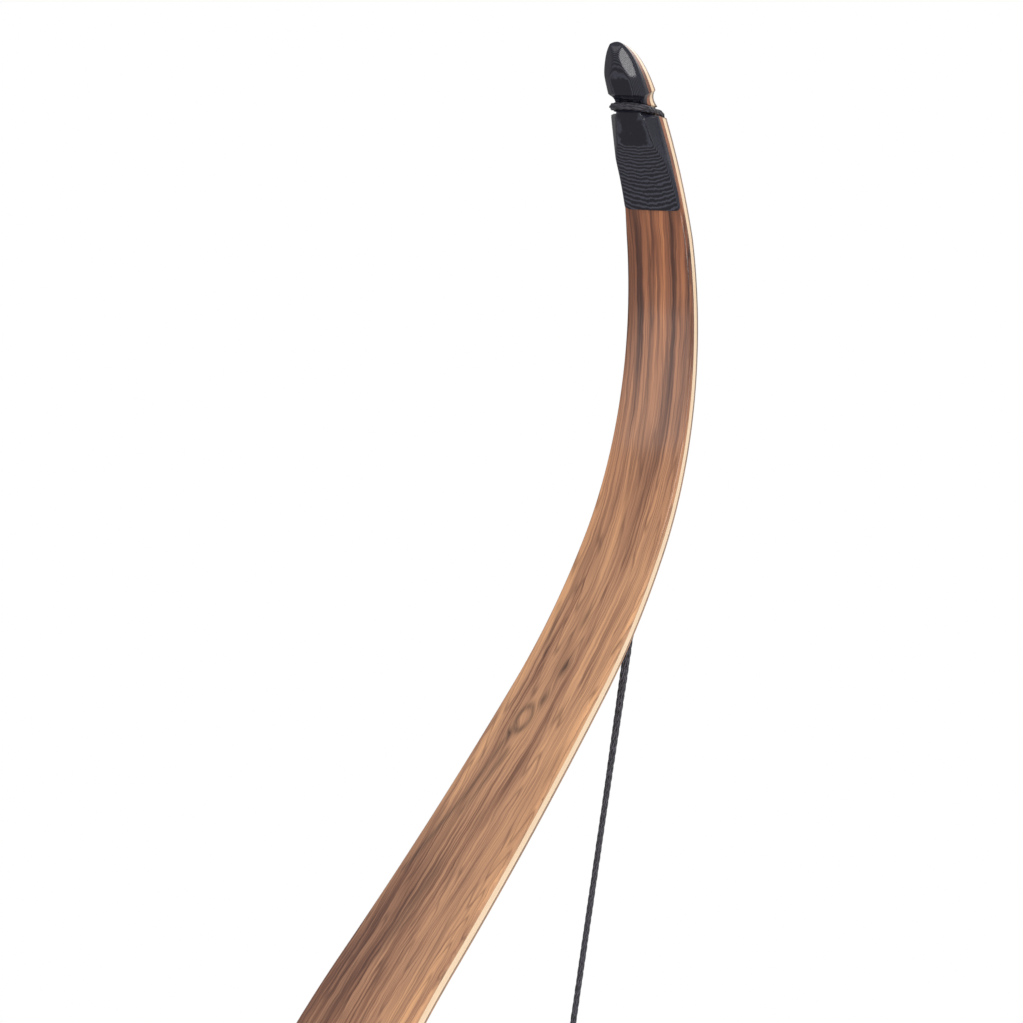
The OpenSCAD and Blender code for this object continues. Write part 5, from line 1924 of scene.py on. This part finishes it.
@dataclass
class LimbBolt:
    """A limb bolt with its washer, and the overlay of the butt that they bear on."""

    side: Side
    line: LimbLine = LINE
    overlay_t: float = 2.4
    overlay_len: float = 66.0
    washer_r: float = 11.5
    washer_t: float = 2.0
    washer_ease: float = 0.35
    shank_r: float = 3.97
    head_r: float = 9.5
    head_h: float = 7.0
    dome: float = 2.0
    key: float = 6.0
    key_depth: float = 4.0
    thread_len: float = 20.0
    pitch: float = 1.411

    def build(self) -> None:
        """Builds the overlay, the washer and the bolt."""
        word, line = self.side.word, self.line
        half = line.limb_w / 2
        straight = self.overlay_len - half
        outline = [(-half, 0.0), (half, 0.0)]
        outline += [(half * math.cos(t), straight + half * math.sin(t)) for t in spread(0, math.pi, 0.06)]
        shape = slab(outline, 0.0, self.overlay_t, 0.7, line.on_butt, True)
        hole = line.hole(self.side, line.bolt_u, line.bolt_hole_r, -3.0, self.overlay_t + 3)
        mesh = carve(shape.mesh("butt", self.side), [hole])
        add_flow(mesh, self.side)
        finish_piece(f"{word}_butt_plate", mesh, [LAMINATE], (f"{word}_butt_overlay",), "black_laminate")
        foot = (0.0, *line.place(line.bolt_u, self.overlay_t, 0.0))
        y, z = line.place(line.bolt_u, self.overlay_t + 1.0, 0.0)
        axis = (0.0, y - foot[1], z - foot[2])
        r, bore, t, ease = self.washer_r, line.bolt_hole_r, self.washer_t, self.washer_ease
        ring = [(bore + ease, 0.0), (r - ease, 0.0), (r, ease), (r, t - ease), (r - ease, t)]
        ring += [(bore + ease, t), (bore, t - ease), (bore, ease)]
        washer = turned(ring, foot, axis).mesh("washer", self.side)
        finish_piece(
            f"{word}_ground_washer", washer, [WASHER_STEEL], (f"{word}_bolt_washer",), "washer_steel",
            f"{word}_washer", 25,
        )
        seat = (0.0, *line.place(line.bolt_u, self.overlay_t + t, 0.0))
        bolt = self.bolt(seat, axis).mesh("bolt", self.side)
        finish_piece(
            f"{word}_hex_bolt", bolt, [BOLT_STEEL], (f"{word}_limb_bolt",), "bolt_steel", f"{word}_bolt", 28
        )

    def bolt(self, seat: Point, axis: Point) -> Shape:
        """Turns the bolt: a knurled head with a hexagon socket, a shank and a cut thread.

        Args:
            seat: The middle of the head's underside.
            axis: The way out of the limb.

        Returns:
            The bolt's shape.
        """
        r, h, dome = self.head_r, self.head_h, self.dome
        flat = self.key / 2
        head = [(0.0, 0.0), (r - 0.5, 0.0), (r, 0.5), (r, 0.9), (r, 1.0), (r, 4.5), (r, 4.6)]
        turns = spread(0, math.pi / 2, 0.2)
        head += [(r - dome + dome * math.cos(a), h - dome + dome * math.sin(a)) for a in turns]
        head += [(flat + 1.0, h), (flat, h - 0.4), (flat, h - self.key_depth), (0.0, h - self.key_depth)]

        def knurl(radius: float, height: float, angle: float) -> float:
            """Cuts the knurl and the hexagon."""
            if radius > r - 0.01 and 0.95 < height < 4.55:
                return radius - 0.25 * (1 + math.cos(36 * angle)) / 2
            if abs(radius - flat) < 0.01 and height < h - 0.3:
                turn = (angle + math.pi / 6) % (math.pi / 3) - math.pi / 6
                return radius / math.cos(turn)
            return radius

        shape = turned(head, seat, axis, knurl, 144)
        grip = self.washer_t + self.overlay_t + self.line.depth(7, 0.0) + self.line.facing_t
        end = -grip - self.thread_len
        shank = [(0.0, end), (self.shank_r - 1.0, end)]
        shank += [(self.shank_r, height) for height in spread(end + 0.8, -grip - 0.5, self.pitch / 8)]
        shank += [(self.shank_r, -grip + 0.5), (self.shank_r, -0.01), (0.0, -0.01)]
        return turned(shank, seat, axis, cut_thread(-0.7, self.pitch, self.shank_r, -grip), 32, shape)


# ---- the studio ----


@dataclass
class Studio:
    """The camera at the photograph's angle, soft lamps, a plain pale floor and a white background."""

    azimuth: float = 30.0
    elevation: float = -9.1
    roll: float = 8.4
    distance: float = 3572.0
    focal: float = 3.05
    anchor: Point = (0.0, -142.489, 671.722)
    pixel: Pair = (635.5, 107.0)
    frame_px: float = 1023.0
    floor_z: float = -700.0
    floor_half: float = 6.0
    floor_glow: float = 0.55
    soft_light: float = 0.6
    gloss_light: float = 0.45
    middle: Point = (0.0, -0.05, 0.35)
    # Each lamp's name, its place to the right of the middle, over it and beyond it, its size and its power
    lamps: tuple[tuple[str, Point, float, float], ...] = (
        ("key_softbox", (2.6, 1.6, -2.6), 2.6, 85.0),
        ("fill_softbox", (-2.6, 1.0, -2.4), 2.6, 34.0),
        ("back_softbox", (1.6, 1.4, 2.8), 2.4, 24.0),
    )

    def axes(self) -> tuple[Vector, Vector, Vector]:
        """The camera's right, up and forward directions."""
        a, e, r = (math.radians(v) for v in (self.azimuth, self.elevation, self.roll))
        ahead = Vector((math.sin(a) * math.cos(e), -math.cos(a) * math.cos(e), -math.sin(e)))
        right = ahead.cross(Vector((0, 0, 1))).normalized()
        up = right.cross(ahead)
        return right * math.cos(r) + up * math.sin(r), up * math.cos(r) - right * math.sin(r), ahead

    def camera(self) -> None:
        """Places the camera so that the nock lies on its pixel of the photograph."""
        right, up, ahead = self.axes()
        scale = 1 / self.focal
        px, py = self.pixel
        middle = self.frame_px / 2
        at = Vector(self.anchor) - right * (px - middle) * scale + up * (py - middle) * scale
        at -= ahead * self.distance
        data = bpy.data.cameras.new("photo_camera")
        data.sensor_width = 36.0
        data.lens = self.focal * self.distance / self.frame_px * data.sensor_width
        data.clip_start, data.clip_end = 0.05, 50.0
        holder = bpy.data.objects.new("photo_camera", data)
        bpy.context.scene.collection.objects.link(holder)
        at *= MM
        holder.matrix_world = Matrix((
            (right.x, up.x, -ahead.x, at.x),
            (right.y, up.y, -ahead.y, at.y),
            (right.z, up.z, -ahead.z, at.z),
            (0.0, 0.0, 0.0, 1.0),
        ))
        bpy.context.scene.camera = holder

    def lamp(self, name: str, place: Point, target: Point, size: float, power: float) -> None:
        """Hangs a square soft box, in metres and watts."""
        data = bpy.data.lights.new(name, "AREA")
        data.size, data.energy = size, power
        holder = bpy.data.objects.new(name, data)
        bpy.context.scene.collection.objects.link(holder)
        holder.location = place
        holder.rotation_euler = (Vector(target) - Vector(place)).to_track_quat("-Z", "Y").to_euler()
        holder.visible_camera = False

    def floor(self) -> None:
        """Lays a pale floor just under the lower tip. It glows to the camera, and keeps the shadow."""
        data = bpy.data.meshes.new("studio_floor")
        z = self.floor_z * MM
        h = self.floor_half
        data.from_pydata([(-h, -h, z), (h, -h, z), (h, h, z), (-h, h, z)], [], [(0, 1, 2, 3)])
        floor = bpy.data.objects.new("studio_floor", data)
        bpy.context.scene.collection.objects.link(floor)
        paint = bpy.data.materials.new("pale_floor")
        paint.use_nodes = True
        shader = paint.node_tree.nodes["Principled BSDF"]
        graph = Graph(paint.node_tree)
        seen = graph.add("ShaderNodeLightPath").outputs["Is Camera Ray"]
        graph.feed(shader, {
            "Base Color": linear("#BDBCBA"), "Roughness": 0.9, "Specular IOR Level": 0.0,
            "Emission Color": linear("#FFFFFF"),
            "Emission Strength": graph.math("MULTIPLY", seen, self.floor_glow),
        })
        data.materials.append(paint)

    def world(self) -> None:
        """A white surround that the camera sees, and a weaker one for the light and the gloss."""
        world = bpy.data.worlds.new("soft_surround")
        bpy.context.scene.world = world
        world.use_nodes = True
        world.node_tree.nodes.clear()
        graph = Graph(world.node_tree)
        rays = graph.add("ShaderNodeLightPath").outputs
        seen = graph.math("MAXIMUM", rays["Is Camera Ray"], rays["Is Transmission Ray"])
        less = self.gloss_light - self.soft_light
        weaker = graph.math("MULTIPLY_ADD", rays["Is Glossy Ray"], less, self.soft_light)
        strength = graph.math("MULTIPLY_ADD", seen, 1 - self.soft_light, weaker)
        light = graph.add("ShaderNodeBackground", {0: linear("#FFFFFF"), "Strength": strength})
        graph.add("ShaderNodeOutputWorld", {0: light.outputs[0]})

    def build(self) -> None:
        """Sets up everything that isn't part of the bow."""
        self.camera()
        self.world()
        self.floor()
        right, up, ahead = self.axes()
        for name, (x, y, z), size, power in self.lamps:
            place = Vector(self.middle) + right * x + up * y + ahead * z
            self.lamp(name, tuple(place), self.middle, size, power)
        # A small low panel puts a clear highlight on the bevels of the tip
        self.lamp("low_panel", (-0.66, 0.95, -0.26), (0.0, -0.15, 0.68), 0.4, 5.0)
        bpy.context.scene.view_settings.view_transform = "Standard"


def dress_cad() -> None:
    """Gives the inserts and pins, whose CAD shapes are right, their metal."""
    for side in Side:
        for name, finish in (("bolt_insert", BRASS), ("locating_pin", PIN_STEEL)):
            mesh = frame["nodes"][f"{side.word}_{name}"].data
            mesh.materials.clear()
            mesh.materials.append(finish.material())
            LOG.info("%s_%s dressed", side.word, name)


def main() -> None:
    """Builds the studio and the bow, piece by piece, and logs how many faces each built piece has."""
    logging.basicConfig(level=logging.INFO, format="%(name)s: %(message)s")
    Studio().build()
    riser = Riser()
    riser.build()
    ArrowRest(riser).build()
    for side in Side:
        Limb(side).build()
        LimbBolt(side).build()
    Bowstring().build(TwistTree())
    dress_cad()


if __name__ == "__main__":
    main()
